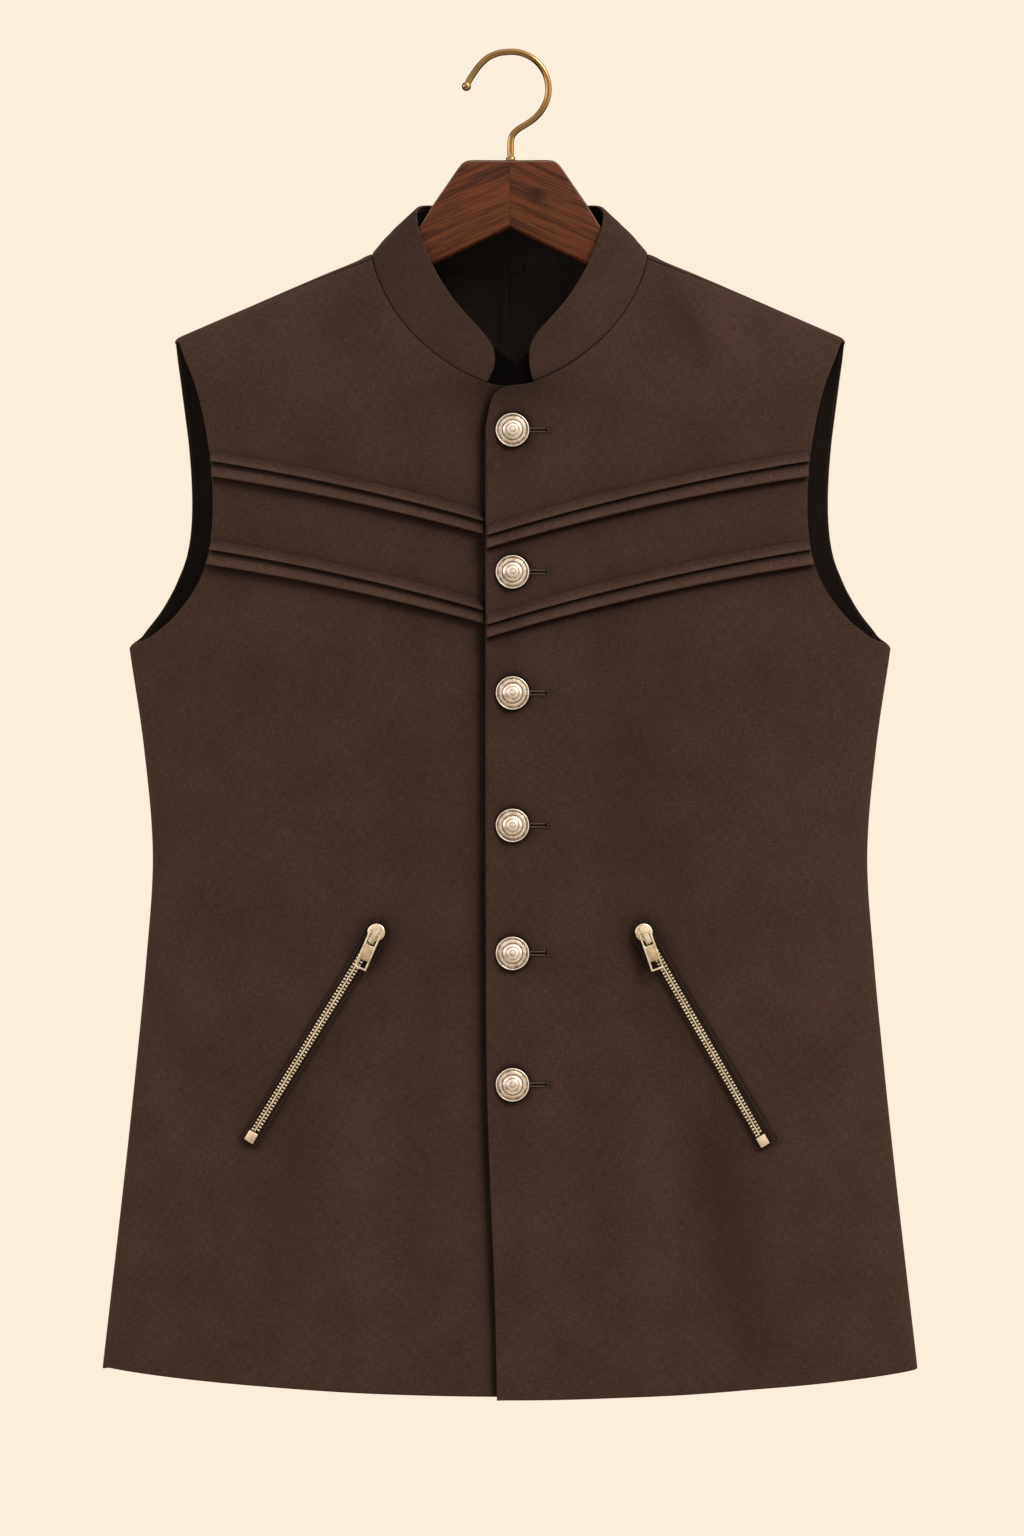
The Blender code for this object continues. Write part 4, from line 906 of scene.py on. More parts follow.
# Height of the upper fold of each double tuck at the centre front, its slope and its bend
TUCK_BANDS = {"upper": -0.3152, "lower": -0.3732}
TUCK_SLOPE = 0.295
TUCK_BEND = 0.33
TUCK_WIDEN = 1.5 * MM
TUCK_UPPER_LAYER_START = -0.0154
TUCK_UNDER_LAYER_START = 0.0163
TUCK_ARMHOLE_GAP = 0.6 * MM
TUCK_END_X = 0.1960
# Round each fold, in mm: distance down from the line of the upper fold, height out of the cloth
TUCK_ROUND_UPPER = (
    (-8.2, -0.60), (-7.4, -0.05), (-6.2, 0.25), (-4.6, 0.90), (-3.2, 1.72), (-2.1, 2.55), (-1.3, 3.20),
    (-0.75, 3.52), (-0.38, 3.46), (-0.15, 3.10), (-0.12, 2.55), (-0.35, 1.95), (-1.1, 1.30), (-3.0, -0.40),
)
TUCK_ROUND_LOWER = (
    (-1.6, -0.60), (-0.8, 0.40), (0.0, 0.90), (0.6, 1.22), (1.4, 1.52), (2.4, 1.85), (3.6, 2.25), (4.8, 2.70),
    (5.8, 3.10), (6.7, 3.44), (7.35, 3.56), (7.9, 3.42), (8.25, 3.00), (8.35, 2.45), (8.1, 1.85), (7.3, 1.25),
    (5.5, 0.40), (3.0, -0.50),
)
# Painted highlight: pressed folds are painted paler over the height between these, in mm, where they catch
# the light
TUCK_HIGHLIGHT_HEIGHTS = (0.6, 2.6)
TUCK_HIGHLIGHT = 0.52
TUCK_STATIONS = 84
# The stitches: below the line of the upper fold, their slant across the row, how far short of its ends
TUCK_STITCH_DROP = -7.7 * MM
TUCK_STITCH_SLANT = math.radians(-52.0)
TUCK_STITCH_INSET = 1.5 * MM


def tuck_z(band_z, x):
    return band_z + TUCK_SLOPE * x - TUCK_BEND * x ** 2


def armhole_x(z):
    return read([(height, x) for x, height in FRONT_ARMHOLE], z)


def tuck_span(side, band_z):
    """Where a tuck starts and ends, as distances towards the armhole."""
    start = TUCK_UPPER_LAYER_START if side > 0 else TUCK_UNDER_LAYER_START
    return start, float(armhole_x(tuck_z(band_z, TUCK_END_X)) - TUCK_ARMHOLE_GAP)


def ring_loft(name, rings, material, painted_light=None):
    """A closed solid through rings of points, each row of the grid being one ring."""
    count, size = rings.shape[:2]
    faces = grid_faces(count, size, ring_columns=True).tolist()
    faces += [list(range(size)), list(range((count - 1) * size, count * size))]
    if painted_light is not None:
        painted_light = np.tile(painted_light, count)
    mesh = build_mesh(name, rings, faces, metre_map(rings)[..., ::-1], painted_light)
    return add_piece(name, mesh, material)


def make_tuck(name, side, band_z, profile, widen, material):
    start, end = tuck_span(side, band_z)
    drop, out = (np.array(column) * MM for column in zip(*profile))
    ends = armhole_x(tuck_z(band_z, end) - drop) - TUCK_ARMHOLE_GAP
    x = start + np.linspace(0, 1, TUCK_STATIONS)[:, None] * (ends - start)
    share = np.clip(drop / drop.max(), 0.0, 1.0) if widen else np.zeros(len(drop))
    z = tuck_z(band_z, x) - drop - widen * share * np.clip(x, 0.0, None) / end
    # Painted highlight along the lips of the folds
    low, high = (height * MM for height in TUCK_HIGHLIGHT_HEIGHTS)
    pale = TUCK_HIGHLIGHT * ease((out - low) / (high - low))
    return ring_loft(name, front_point(side, x, z, out), material, pale)


# ---------------------------------------------------------------- stitches

# Distance from stitch to stitch, radius of the thread, share of the row that shows
TUCK_STITCH = (2.3 * MM, 0.17 * MM, 0.70)
RIM_STITCH = (2.2 * MM, 0.20 * MM, 0.66)
TACK_STITCH = (1.9 * MM, 0.28 * MM, 0.85)
# Along one stitch from end to end: place, share of its thickness
STITCH_SHAPE = ((-1.0, 0.30), (-0.75, 0.85), (0.0, 1.0), (0.75, 0.85), (1.0, 0.30))
STITCH_SIDES = 6
# How far the middle of a thread lies out of the cloth
THREAD_OUT = 0.12 * MM


def stitch_row(name, path, normals, thread, stitch, slant=0.0):
    """Short rounded threads along a path that lies on the cloth, each turned from it by the slant."""
    pitch, radius, share = stitch
    lengths = path_lengths(path)
    middles = np.arange(pitch / 2, lengths[-1], pitch)
    centre = on_path(middles, lengths, path)
    along = unit(on_path(middles + MM, lengths, path) - on_path(middles - MM, lengths, path))
    normal = unit(on_path(middles, lengths, normals))
    beside = np.cross(normal, along)
    along, beside = (along * math.cos(slant) + beside * math.sin(slant),
                     beside * math.cos(slant) - along * math.sin(slant))
    angle = np.arange(STITCH_SIDES) * 2 * math.pi / STITCH_SIDES
    rings = []
    for place, thick in STITCH_SHAPE:
        middle = centre + along * place * pitch * share / 2
        turn = np.cos(angle)[None, :, None] * beside[:, None] + np.sin(angle)[None, :, None] * normal[:, None]
        rings.append(middle[:, None] + turn * radius * thick)
    points = np.stack(rings, axis=1)
    each = len(STITCH_SHAPE) * STITCH_SIDES
    one = grid_faces(len(STITCH_SHAPE), STITCH_SIDES, ring_columns=True).tolist()
    one += [list(range(STITCH_SIDES)), list(range(each - STITCH_SIDES, each))]
    faces = [[i + k * each for i in face] for k in range(len(middles)) for face in one]
    return add_piece(name, build_mesh(name, points, faces), thread)


def front_path(side, x, z, out):
    """Points along a line on a front, and the cloth's normals there."""
    points = front_point(side, x, z, out)
    return points, unit(front_point(side, x, z, out + MM) - points)


def make_tucks(suiting, thread):
    pieces = []
    for side, side_name in ((1, "left"), (-1, "right")):
        for band, band_z in TUCK_BANDS.items():
            for fold, profile, widen in (("a", TUCK_ROUND_UPPER, 0.0), ("b", TUCK_ROUND_LOWER, TUCK_WIDEN)):
                node = f"tuck_{side_name}_{band}_{fold}"
                piece = make_tuck(f"folded_{node}", side, band_z, profile, widen, suiting)
                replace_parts(piece, node)
                pieces.append(piece)
            start, end = tuck_span(side, band_z)
            x = np.linspace(start + TUCK_STITCH_INSET, end - TUCK_STITCH_INSET, 160)
            path, normals = front_path(side, x, tuck_z(band_z, x) - TUCK_STITCH_DROP, THREAD_OUT)
            stitch_row(f"tuck_stitches_{side_name}_{band}", path, normals, thread, TUCK_STITCH,
                       side * TUCK_STITCH_SLANT)
    return pieces


# ---------------------------------------------------------------- modelling by hand


def clear_selection():
    if bpy.context.object and bpy.context.object.mode != "OBJECT":
        bpy.ops.object.mode_set(mode="OBJECT")
    bpy.ops.object.select_all(action="DESELECT")


def make_active(piece):
    clear_selection()
    piece.select_set(True)
    bpy.context.view_layer.objects.active = piece


def block(name, x, y, z):
    """A box between pairs of x, y and z, its place held in its mesh."""
    clear_selection()
    centre = [(pair[0] + pair[1]) / 2 for pair in (x, y, z)]
    size = [pair[1] - pair[0] for pair in (x, y, z)]
    bpy.ops.mesh.primitive_cube_add(size=1.0, location=centre, scale=size)
    piece = bpy.context.object
    piece.name = name
    bpy.ops.object.transform_apply(location=True, rotation=True, scale=True)
    return piece


def rod(name, radius, length, axis, centre, segments=32):
    clear_selection()
    turn = Vector((0, 0, 1)).rotation_difference(Vector(axis)).to_euler()
    bpy.ops.mesh.primitive_cylinder_add(vertices=segments, radius=radius, depth=length, location=centre,
                                        rotation=turn)
    piece = bpy.context.object
    piece.name = name
    bpy.ops.object.transform_apply(location=True, rotation=True, scale=True)
    return piece


def shape_with(piece, tool, operation):
    """Cut a tool out of a piece, or join it on, and remove the tool."""
    make_active(piece)
    change = piece.modifiers.new(operation, "BOOLEAN")
    change.operation = operation
    change.object = tool
    change.solver = "EXACT"
    bpy.ops.object.modifier_apply(modifier=change.name)
    bpy.data.objects.remove(tool, do_unlink=True)


def soften(piece, width, segments=3, angle=35):
    make_active(piece)
    change = piece.modifiers.new("Softened edges", "BEVEL")
    change.width = width
    change.segments = segments
    change.limit_method = "ANGLE"
    change.angle_limit = math.radians(angle)
    change.harden_normals = False
    bpy.ops.object.modifier_apply(modifier=change.name)


def turned(name, profile, segments):
    """A turned piece: a disc drawn up ring by ring through its profile of radius and height."""
    clear_selection()
    radius, height = profile[0][:2]
    bpy.ops.mesh.primitive_circle_add(vertices=segments, radius=radius, fill_type="NGON",
                                      location=(0, 0, height))
    piece = bpy.context.object
    piece.name = name
    bpy.ops.object.transform_apply(location=True, rotation=True, scale=True)
    bpy.ops.object.mode_set(mode="EDIT")
    bpy.ops.mesh.select_all(action="SELECT")
    for step in profile[1:]:
        bpy.ops.mesh.extrude_region_move(TRANSFORM_OT_translate={"value": (0, 0, step[1] - height)})
        share = step[0] / radius
        bpy.ops.transform.resize(value=(share, share, 1.0), center_override=(0, 0, step[1]))
        radius, height = step[:2]
    bpy.ops.mesh.select_all(action="SELECT")
    bpy.ops.mesh.normals_make_consistent(inside=False)
    bpy.ops.object.mode_set(mode="OBJECT")
    return piece


def set_down(piece, matrix, material, body=BODY, angle=35):
    """Put a finished piece in its place, in its mesh, and give it its material."""
    make_active(piece)
    piece.data.transform(matrix)
    if matrix.determinant() < 0:
        piece.data.flip_normals()
    finish_mesh(piece.data, material, angle)
    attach(piece, body)
    return piece


def join_pieces(name, pieces):
    make_active(pieces[0])
    for piece in pieces[1:]:
        piece.select_set(True)
    bpy.ops.object.join()
    joined = bpy.context.object
    joined.name = name
    return joined


# ---------------------------------------------------------------- zips

SEAM_GAP = 0.3 * MM
ZIP_TOP = (0.0868, -0.5775)
ZIP_BOTTOM = (0.1665, -0.7126)
ZIP_LENGTH = math.dist(ZIP_TOP, ZIP_BOTTOM)
# How far the windows and the chains sway at their stops: by side, 1 the wearer's left
WINDOW_SWAY = {1: 0.0, -1: 2.4 * MM}
CHAIN_SWAY = {1: -2.2 * MM, -1: 2.6 * MM}
# By side, 1 the wearer's left
TAB_TILTS = {1: math.radians(19.5), -1: math.radians(23.5)}
TAPE_WIDTH = 10.0 * MM
TAPE_WALL = 0.7 * MM
TAPE_INSET = 1.8 * MM
WELT_WIDTH = 13.6 * MM
ZIP_END = 6.0 * MM
# Across the rim of suiting, in mm: distance in from its outer edge, height out of the cloth
WELT_ROUND = (
    (0.0, -0.25), (0.08, 0.22), (0.34, 0.42), (0.66, 0.40), (0.98, 0.24), (1.30, 0.24), (1.62, 0.70),
    (1.95, 1.18), (2.30, 1.32), (2.54, 1.24), (2.56, 1.12), (2.30, 1.06), (1.76, 1.06), (1.70, -0.25),
)
WELT_STITCH_IN = -0.75 * MM
WELT_THREAD_OUT = 0.10 * MM
# The rim is a facing cut as a strip, stitched round the window and turned
CHAIN_WALL = 1.4 * MM
CHAIN_START = 8.0 * MM
TOOTH_PITCH = 2.30 * MM
# Parts of a tooth: where each starts and ends along its leg, its width along the chain
TOOTH_FOOT = (1.10 * MM, 2.55 * MM, 1.30 * MM)
TOOTH_NECK = (0.30 * MM, 1.45 * MM, 0.72 * MM)
TOOTH_HEAD = (-0.48 * MM, 0.48 * MM, 1.70 * MM)
TOOTH_NECK_WALL = 0.9 * MM
TOOTH_ROUND = 0.24 * MM
STOP_WIDTH = 6.4 * MM
STOP_LENGTH = 7.1 * MM
STOP_WALL = 1.8 * MM
STOP_ROUND = 0.28 * MM
SLIDER_HEAD_RADIUS = 5.7 * MM
SLIDER_WALL = 1.4 * MM
# Over the slider's round head, in mm: distance in from its rim, height
SLIDER_ROUND = ((0.5, 0.0), (0.1, 0.25), (0.0, 0.6), (0.1, 1.0), (0.45, 1.3), (0.9, 1.4))
SLIDER_TAIL = (5.0 * MM, 8.2 * MM)
SLIDER_TAIL_ROUND = 0.35 * MM
BRIDGE_WIDTH = 3.2 * MM
BRIDGE_TOP_END = 4.8 * MM
BRIDGE_LOW_END = 7.5 * MM
BRIDGE_WALL = 1.1 * MM
BRIDGE_POST = 1.2 * MM
BRIDGE_ROUND = 0.5 * MM
PIN_DROP = 1.5 * MM
PIN_RADIUS = 0.6 * MM
PIN_PLAY = 0.5 * MM
PIN_ROOT = 0.2 * MM
TAB_WIDTH = 8.4 * MM
TAB_LENGTH = 24.5 * MM
TAB_WALL = 1.2 * MM
TAB_SLOT = (5.8 * MM, 7.8 * MM)
TAB_WINDOW = (6.0 * MM, 4.9 * MM)
TAB_RIM = 1.3 * MM
TAB_PANEL = (-18.2 * MM, -9.1 * MM)
TAB_PANEL_DEPTH = 0.30 * MM
TAB_PLATE_WALL = 0.08 * MM
TAB_SLOT_ROUND = 1.2 * MM
TAB_WINDOW_ROUND = 0.4 * MM
TAB_EDGE_ROUND = 0.24 * MM


def zip_place(along, across, sway=0.0):
    """x and z of places on a zip: along from its slider to its stop, across towards the side seam, and
    swayed further that way the nearer it is to the stop."""
    across = across + sway * along / ZIP_LENGTH
    down = np.array(ZIP_BOTTOM) - np.array(ZIP_TOP)
    down = down / np.linalg.norm(down)
    x = ZIP_TOP[0] + down[0] * along - down[1] * across
    z = ZIP_TOP[1] + down[1] * along + down[0] * across
    return x, z


ZIP_TILT = math.atan2(ZIP_BOTTOM[0] - ZIP_TOP[0], ZIP_TOP[1] - ZIP_BOTTOM[1])
CHAIN_OUT = SEAM_GAP + TAPE_WALL + SEAM_GAP
CHAIN_TOP = CHAIN_OUT + CHAIN_WALL


def zip_frame(side, along, out, tilt, sway=0.0):
    """Place on a zip with Z up the garment, tilted from the upright, and -Y out of the cloth."""
    x, z = zip_place(along, 0.0, sway)
    origin = Vector(front_point(side, x, z, out))
    beside = Vector(front_point(side, x + MM, z, out))
    above = Vector(front_point(side, x, z + MM, out))
    normal = (beside - origin).cross(above - origin) * side
    inward = -normal.normalized()
    lean = Vector((-side * math.sin(tilt), 0.0, math.cos(tilt)))
    up = (lean - inward * lean.dot(inward)).normalized()
    right = inward.cross(up)
    turn = Matrix((right, inward, up)).transposed().to_4x4()
    return Matrix.Translation(origin) @ turn


def make_tape(name, side, material):
    start, end = TAPE_INSET - ZIP_END, ZIP_LENGTH + ZIP_END - TAPE_INSET
    middle = SEAM_GAP + TAPE_WALL / 2

    def place(u, v, out):
        x, z = zip_place(mix(start, end, v), TAPE_WIDTH * (u - 0.5), WINDOW_SWAY[side])
        return front_point(side, x, z, middle + out)

    return flat_strip(name, place, 20, 150, TAPE_WIDTH, end - start, TAPE_WALL, material, "zip_tape")


def rim_route(inset, steps):
    """Along and across places round the window of the zip, drawn in by an inset."""
    start, end, half = -ZIP_END + inset, ZIP_LENGTH + ZIP_END - inset, WELT_WIDTH / 2 - inset
    corners = np.array(((start, -half), (end, -half), (end, half), (start, half), (start, -half)))
    pieces = [mix(a, b, np.linspace(0, 1, count, endpoint=False)[:, None])
              for a, b, count in zip(corners, corners[1:], (steps, 8, steps, 8))]
    return np.concatenate(pieces)


def make_welt(name, side, material):
    columns = []
    for inset, out in WELT_ROUND:
        places = rim_route(inset * MM, 120)
        x, z = zip_place(places[:, 0], places[:, 1], WINDOW_SWAY[side])
        columns.append(front_point(side, x, z, out * MM))
    rings = np.stack(columns, axis=1)
    count, size = rings.shape[:2]
    faces = grid_faces(count, size, ring_rows=True, ring_columns=True).tolist()
    return add_piece(name, build_mesh(name, rings, faces, metre_map(rings)), material)


def make_welt_stitches(name, side, thread):
    places = rim_route(WELT_STITCH_IN, 160)
    places = np.concatenate((places, places[:1]))
    x, z = zip_place(places[:, 0], places[:, 1], WINDOW_SWAY[side])
    path, normals = front_path(side, x, z, WELT_THREAD_OUT)
    return stitch_row(name, path, normals, thread, RIM_STITCH)


def make_tooth():
    """One tooth in its own frame: X out along its leg, Z along the chain, -Y out of the cloth."""
    tooth = None
    for (low, high, width), wall in ((TOOTH_FOOT, CHAIN_WALL), (TOOTH_NECK, TOOTH_NECK_WALL),
                                     (TOOTH_HEAD, CHAIN_WALL)):
        bar = block("tooth", (low, high), (-wall, 0.0), (-width / 2, width / 2))
        if tooth:
            shape_with(tooth, bar, "UNION")
        else:
            tooth = bar
    soften(tooth, TOOTH_ROUND, segments=2)
    return tooth


def mesh_arrays(mesh):
    points = np.empty(len(mesh.vertices) * 3)
    mesh.vertices.foreach_get("co", points)
    return points.reshape(-1, 3), [list(polygon.vertices) for polygon in mesh.polygons]


def joined_copies(name, mesh, matrices):
    """One mesh of many copies of a small shape, each moved by its own matrix."""
    points, faces = mesh_arrays(mesh)
    flat = np.concatenate((points, np.ones((len(points), 1))), axis=1)
    copies = np.concatenate([(flat @ np.array(matrix).T)[:, :3] for matrix in matrices])
    all_faces = [[i + k * len(points) for i in face] for k in range(len(matrices)) for face in faces]
    return build_mesh(name, copies, all_faces)


def make_teeth(name, side, tooth, material):
    """The closed chain: teeth from either side in turn."""
    end = ZIP_LENGTH - STOP_LENGTH / 2 - SEAM_GAP
    matrices = []
    for k in range(int((end - CHAIN_START) / TOOTH_PITCH * 2)):
        along = CHAIN_START + k * TOOTH_PITCH / 2
        turn = Matrix.Rotation(math.pi if k % 2 else 0.0, 4, "Y")
        matrices.append(zip_frame(side, along, CHAIN_OUT, ZIP_TILT, CHAIN_SWAY[side]) @ turn)
    mesh = joined_copies(name, tooth.data, matrices)
    teeth = add_piece(name, mesh, material)
    finish_mesh(mesh, material, 35)
    return teeth


def make_stop(name, side, material):
    half_x, half_z = STOP_WIDTH / 2, STOP_LENGTH / 2
    stop = block(name, (-half_x, half_x), (-STOP_WALL, 0.0), (-half_z, half_z))
    soften(stop, STOP_ROUND)
    place = zip_frame(side, ZIP_LENGTH, CHAIN_OUT, ZIP_TILT, CHAIN_SWAY[side])
    return set_down(stop, place, material)


def make_bridge():
    """The rounded bridge that holds the pull tab: a bar on two posts."""
    half = BRIDGE_WIDTH / 2
    under = -SLIDER_WALL - (PIN_RADIUS * 2 + PIN_PLAY + SEAM_GAP)
    bridge = block("bridge", (-half, half), (under - BRIDGE_WALL, under), (-BRIDGE_LOW_END, BRIDGE_TOP_END))
    for end in (BRIDGE_TOP_END, BRIDGE_POST - BRIDGE_LOW_END):
        post = block("post", (-half, half), (under - BRIDGE_WALL / 2, -0.5 * MM), (end - BRIDGE_POST, end))
        shape_with(bridge, post, "UNION")
    soften(bridge, BRIDGE_ROUND, segments=4, angle=60)
    return bridge


def make_slider(name, side, material):
    """The slider: a round head, a tail down the chain, and the bridge."""
    profile = [(SLIDER_HEAD_RADIUS - inset * MM, height * MM) for inset, height in SLIDER_ROUND]
    slider = turned(name, profile, 48)
    slider.data.transform(Matrix.Rotation(math.radians(90), 4, "X"))
    width, length = SLIDER_TAIL
    tail = block("tail", (-width / 2, width / 2), (-SLIDER_WALL, 0.0), (-length, 0.0))
    soften(tail, SLIDER_TAIL_ROUND)
    shape_with(slider, tail, "UNION")
    slider = join_pieces(name, [slider, make_bridge()])
    return set_down(slider, zip_frame(side, 0.0, CHAIN_TOP + SEAM_GAP, ZIP_TILT), material)


def pull_frame(side):
    """Place of a pull tab, with its pin along X."""
    out = CHAIN_TOP + SEAM_GAP + SLIDER_WALL + PIN_PLAY + PIN_RADIUS
    return zip_frame(side, PIN_DROP, out, TAB_TILTS[side])


def make_pull(name, side, body, material):
    """The pull tab: a fork round the bridge, a recess for its panels, a window, and the pin it turns on."""
    half, thin = TAB_WIDTH / 2, TAB_WALL / 2
    through = (-4 * TAB_WALL, 4 * TAB_WALL)
    tab = block(name, (-half, half), (-thin, thin), (-TAB_LENGTH, PIN_RADIUS))
    slot_width, slot_end = TAB_SLOT
    slot = block("slot", (-slot_width / 2, slot_width / 2), through, (-slot_end, 4 * MM))
    soften(slot, TAB_SLOT_ROUND, segments=6)
    shape_with(tab, slot, "DIFFERENCE")
    window_width, window_height = TAB_WINDOW
    low = -TAB_LENGTH + TAB_RIM
    window = block("window", (-window_width / 2, window_width / 2), through, (low, low + window_height))
    soften(window, TAB_WINDOW_ROUND)
    shape_with(tab, window, "DIFFERENCE")
    soften(tab, TAB_EDGE_ROUND)
    for face in (-1, 1):
        y = sorted((face * 2 * TAB_WALL, face * (thin - TAB_PANEL_DEPTH)))
        panel = block("panel", (-window_width / 2, window_width / 2), y, TAB_PANEL)
        shape_with(tab, panel, "DIFFERENCE")
    pin = rod("pin", PIN_RADIUS, slot_width + 2 * PIN_ROOT, (1, 0, 0), (0, 0, 0), 20)
    shape_with(tab, pin, "UNION")
    return set_down(tab, pull_frame(side), material, body)


def make_tab_panel(name, side, body, material):
    """The satin plate sunk into both faces of the pull tab."""
    half = TAB_WINDOW[0] / 2
    face = TAB_WALL / 2 - TAB_PANEL_DEPTH
    plate = block(name, (-half, half), (-face - TAB_PLATE_WALL, face + TAB_PLATE_WALL), TAB_PANEL)
    soften(plate, TAB_PLATE_WALL)
    return set_down(plate, pull_frame(side), material, body)


def make_zips(suiting, tape, chain, satin, sunk, thread):
    tooth = make_tooth()
    for side, name in ((1, "left"), (-1, "right")):
        piece = make_tape(f"woven_tape_{name}", side, tape)
        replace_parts(piece, f"zip_tape_{name}")
        piece = make_welt(f"window_rim_{name}", side, suiting)
        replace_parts(piece, f"zip_welt_{name}")
        make_welt_stitches(f"window_stitches_{name}", side, thread)
        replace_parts(make_teeth(f"zip_teeth_{name}", side, tooth, chain), f"zip_chain_{name}")
        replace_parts(make_stop(f"end_stop_{name}", side, satin), f"zip_stop_{name}")
        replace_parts(make_slider(f"slider_{name}", side, chain), f"zip_slider_{name}")
        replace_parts(make_pull(f"pull_tab_{name}", side, f"pull_{name}", chain), f"zip_pull_{name}")
        make_tab_panel(f"pull_tab_panel_{name}", side, f"pull_{name}", sunk)
    bpy.data.objects.remove(tooth, do_unlink=True)


# ---------------------------------------------------------------- buttons

BUTTON_X = 0.0016
BUTTON_HEIGHTS = (-0.2508, -0.3431, -0.4217, -0.5078, -0.5911, -0.6764)
BUTTON_TURNS = (12, -35, 64, 5, -18, 47)
BUTTON_SIDES = 72
BUTTON_RADIUS = 0.0109
# In mm: radius, height above the cloth
BUTTON_PROFILE = (
    (7.5, 0.0), (9.4, 0.5), (10.5, 0.95), (10.85, 1.25), (10.9, 1.55), (10.8, 1.9), (10.55, 2.1),
    (10.25, 2.12), (10.02, 1.95), (9.92, 1.72), (9.6, 1.7), (9.05, 1.84), (8.9, 2.02), (8.2, 2.2),
    (7.3, 2.34), (7.05, 2.30), (6.92, 2.08), (6.75, 2.0), (6.6, 2.08), (6.48, 2.5), (6.2, 3.0),
    (5.75, 3.45), (5.1, 3.85), (4.55, 4.06), (4.4, 3.98), (4.25, 3.98), (4.1, 4.2), (3.5, 4.48),
    (2.7, 4.72), (2.0, 4.86), (1.82, 4.76), (1.66, 4.76), (1.5, 4.92), (0.9, 5.02), (0.3, 5.05),
)
# Ring of beads inside the rim, and of worn ticks on the band: count, radius, height, size
BEAD_COUNT = 60
BEAD_RING = (9.48 * MM, 1.84 * MM, 0.36 * MM)
TICK_COUNT = 30
TICK_RING = (8.0 * MM, 2.22 * MM)
TICK_SIZE = (1.25 * MM, 0.42 * MM, 0.22 * MM)
TICK_ROUND = 0.16 * MM
BUTTONHOLE_START = 0.0100
BUTTONHOLE_END = 0.0228
BUTTONHOLE_LIP = 1.05 * MM
# Round a buttonhole's lip, in mm: distance down, height out of the cloth
LIP_ROUND = (
    (-0.62, -0.30), (-0.58, 0.15), (-0.36, 0.46), (0.0, 0.56), (0.36, 0.46), (0.58, 0.15), (0.62, -0.30),
)
# A dark sheet laid between the lips as painted shade for the opening: its size, thickness, how far it runs on
# past them, how far out it lies
SLIT_SIZE = (13.7 * MM, 1.5 * MM)
SLIT_HALF = BUTTONHOLE_LIP * 0.7
SLIT_WALL = 0.12 * MM
SLIT_PAST = 0.9 * MM
SLIT_OUT = 0.10 * MM
# A bar tack is four upright rows of thread: its place and size; then where each row stands in its width, and
# how much of its height that row reaches above and below
BAR_TACK_X = 0.0253
BAR_TACK_SIZE = (2.6 * MM, 5.2 * MM)
BAR_TACK_ROWS = ((-0.5, 0.5), (-0.17, 0.42), (0.17, 0.42), (0.5, 0.5))


def button_frame(x, z, out, turn):
    """Place on the upper layer with Z out of the cloth."""
    origin = Vector(front_point(1, x, z, out))
    beside = Vector(front_point(1, x + MM, z, out)) - origin
    above = Vector(front_point(1, x, z + MM, out)) - origin
    normal = beside.cross(above).normalized()
    tilt = Vector((0, 0, 1)).rotation_difference(normal).to_matrix().to_4x4()
    return Matrix.Translation(origin) @ tilt @ Matrix.Rotation(math.radians(turn), 4, "Z")


def round_ring(count, radius, height):
    step = 2 * math.pi / count
    move = Matrix.Translation((radius, 0, height))
    return [Matrix.Rotation(k * step, 4, "Z") @ move for k in range(count)]


def make_button_pattern():
    """One button in its own frame, Z out of the cloth: the turned disc, its ring of beads and its ticks."""
    disc = turned("button", [(radius * MM, height * MM) for radius, height in BUTTON_PROFILE], BUTTON_SIDES)
    clear_selection()
    bpy.ops.mesh.primitive_uv_sphere_add(segments=8, ring_count=5, radius=BEAD_RING[2])
    bead = bpy.context.object
    long, wide, tall = TICK_SIZE
    tick = block("tick", (-long / 2, long / 2), (-wide / 2, wide / 2), (-tall, tall))
    soften(tick, TICK_ROUND, segments=2)
    shapes = (
        (mesh_arrays(disc.data), [Matrix.Identity(4)]),
        (mesh_arrays(bead.data), round_ring(BEAD_COUNT, *BEAD_RING[:2])),
        (mesh_arrays(tick.data), round_ring(TICK_COUNT, *TICK_RING)),
    )
    all_points, all_faces, start = [], [], 0
    for (points, faces), matrices in shapes:
        for matrix in matrices:
            turn = np.array(matrix)
            all_points.append(points @ turn[:3, :3].T + turn[:3, 3])
            all_faces += [[i + start for i in face] for face in faces]
            start += len(points)
    for piece in (disc, bead, tick):
        bpy.data.objects.remove(piece, do_unlink=True)
    return np.concatenate(all_points), all_faces


def make_buttons(metal):
    """Six domed buttons; each carries its own plan in metres as a UV map, for the tarnish in its grooves."""
    points, faces = make_button_pattern()
    plan = points[:, :2]
    for number, (z, turn) in enumerate(zip(BUTTON_HEIGHTS, BUTTON_TURNS), start=1):
        place = np.array(button_frame(BUTTON_X, z, SEAM_GAP, turn))
        moved = points @ place[:3, :3].T + place[:3, 3]
        mesh = build_mesh(f"domed_button_{number}", moved, faces, plan)
        piece = add_piece(f"domed_button_{number}", mesh, metal)
        finish_mesh(mesh, metal, 50)
        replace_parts(piece, f"button_{number}")


def make_slit_shade(name, z, dark):
    # Painted shade: a thin dark sheet on the cloth where the opening lies in shade
    long = BUTTONHOLE_END + SLIT_PAST - BUTTONHOLE_START

    def place(u, v, out):
        return front_point(1, BUTTONHOLE_START + long * u, z + SLIT_HALF * (1 - 2 * v), SLIT_OUT + out)

    flat_strip(name, place, 8, 4, *SLIT_SIZE, SLIT_WALL, dark, "lining")


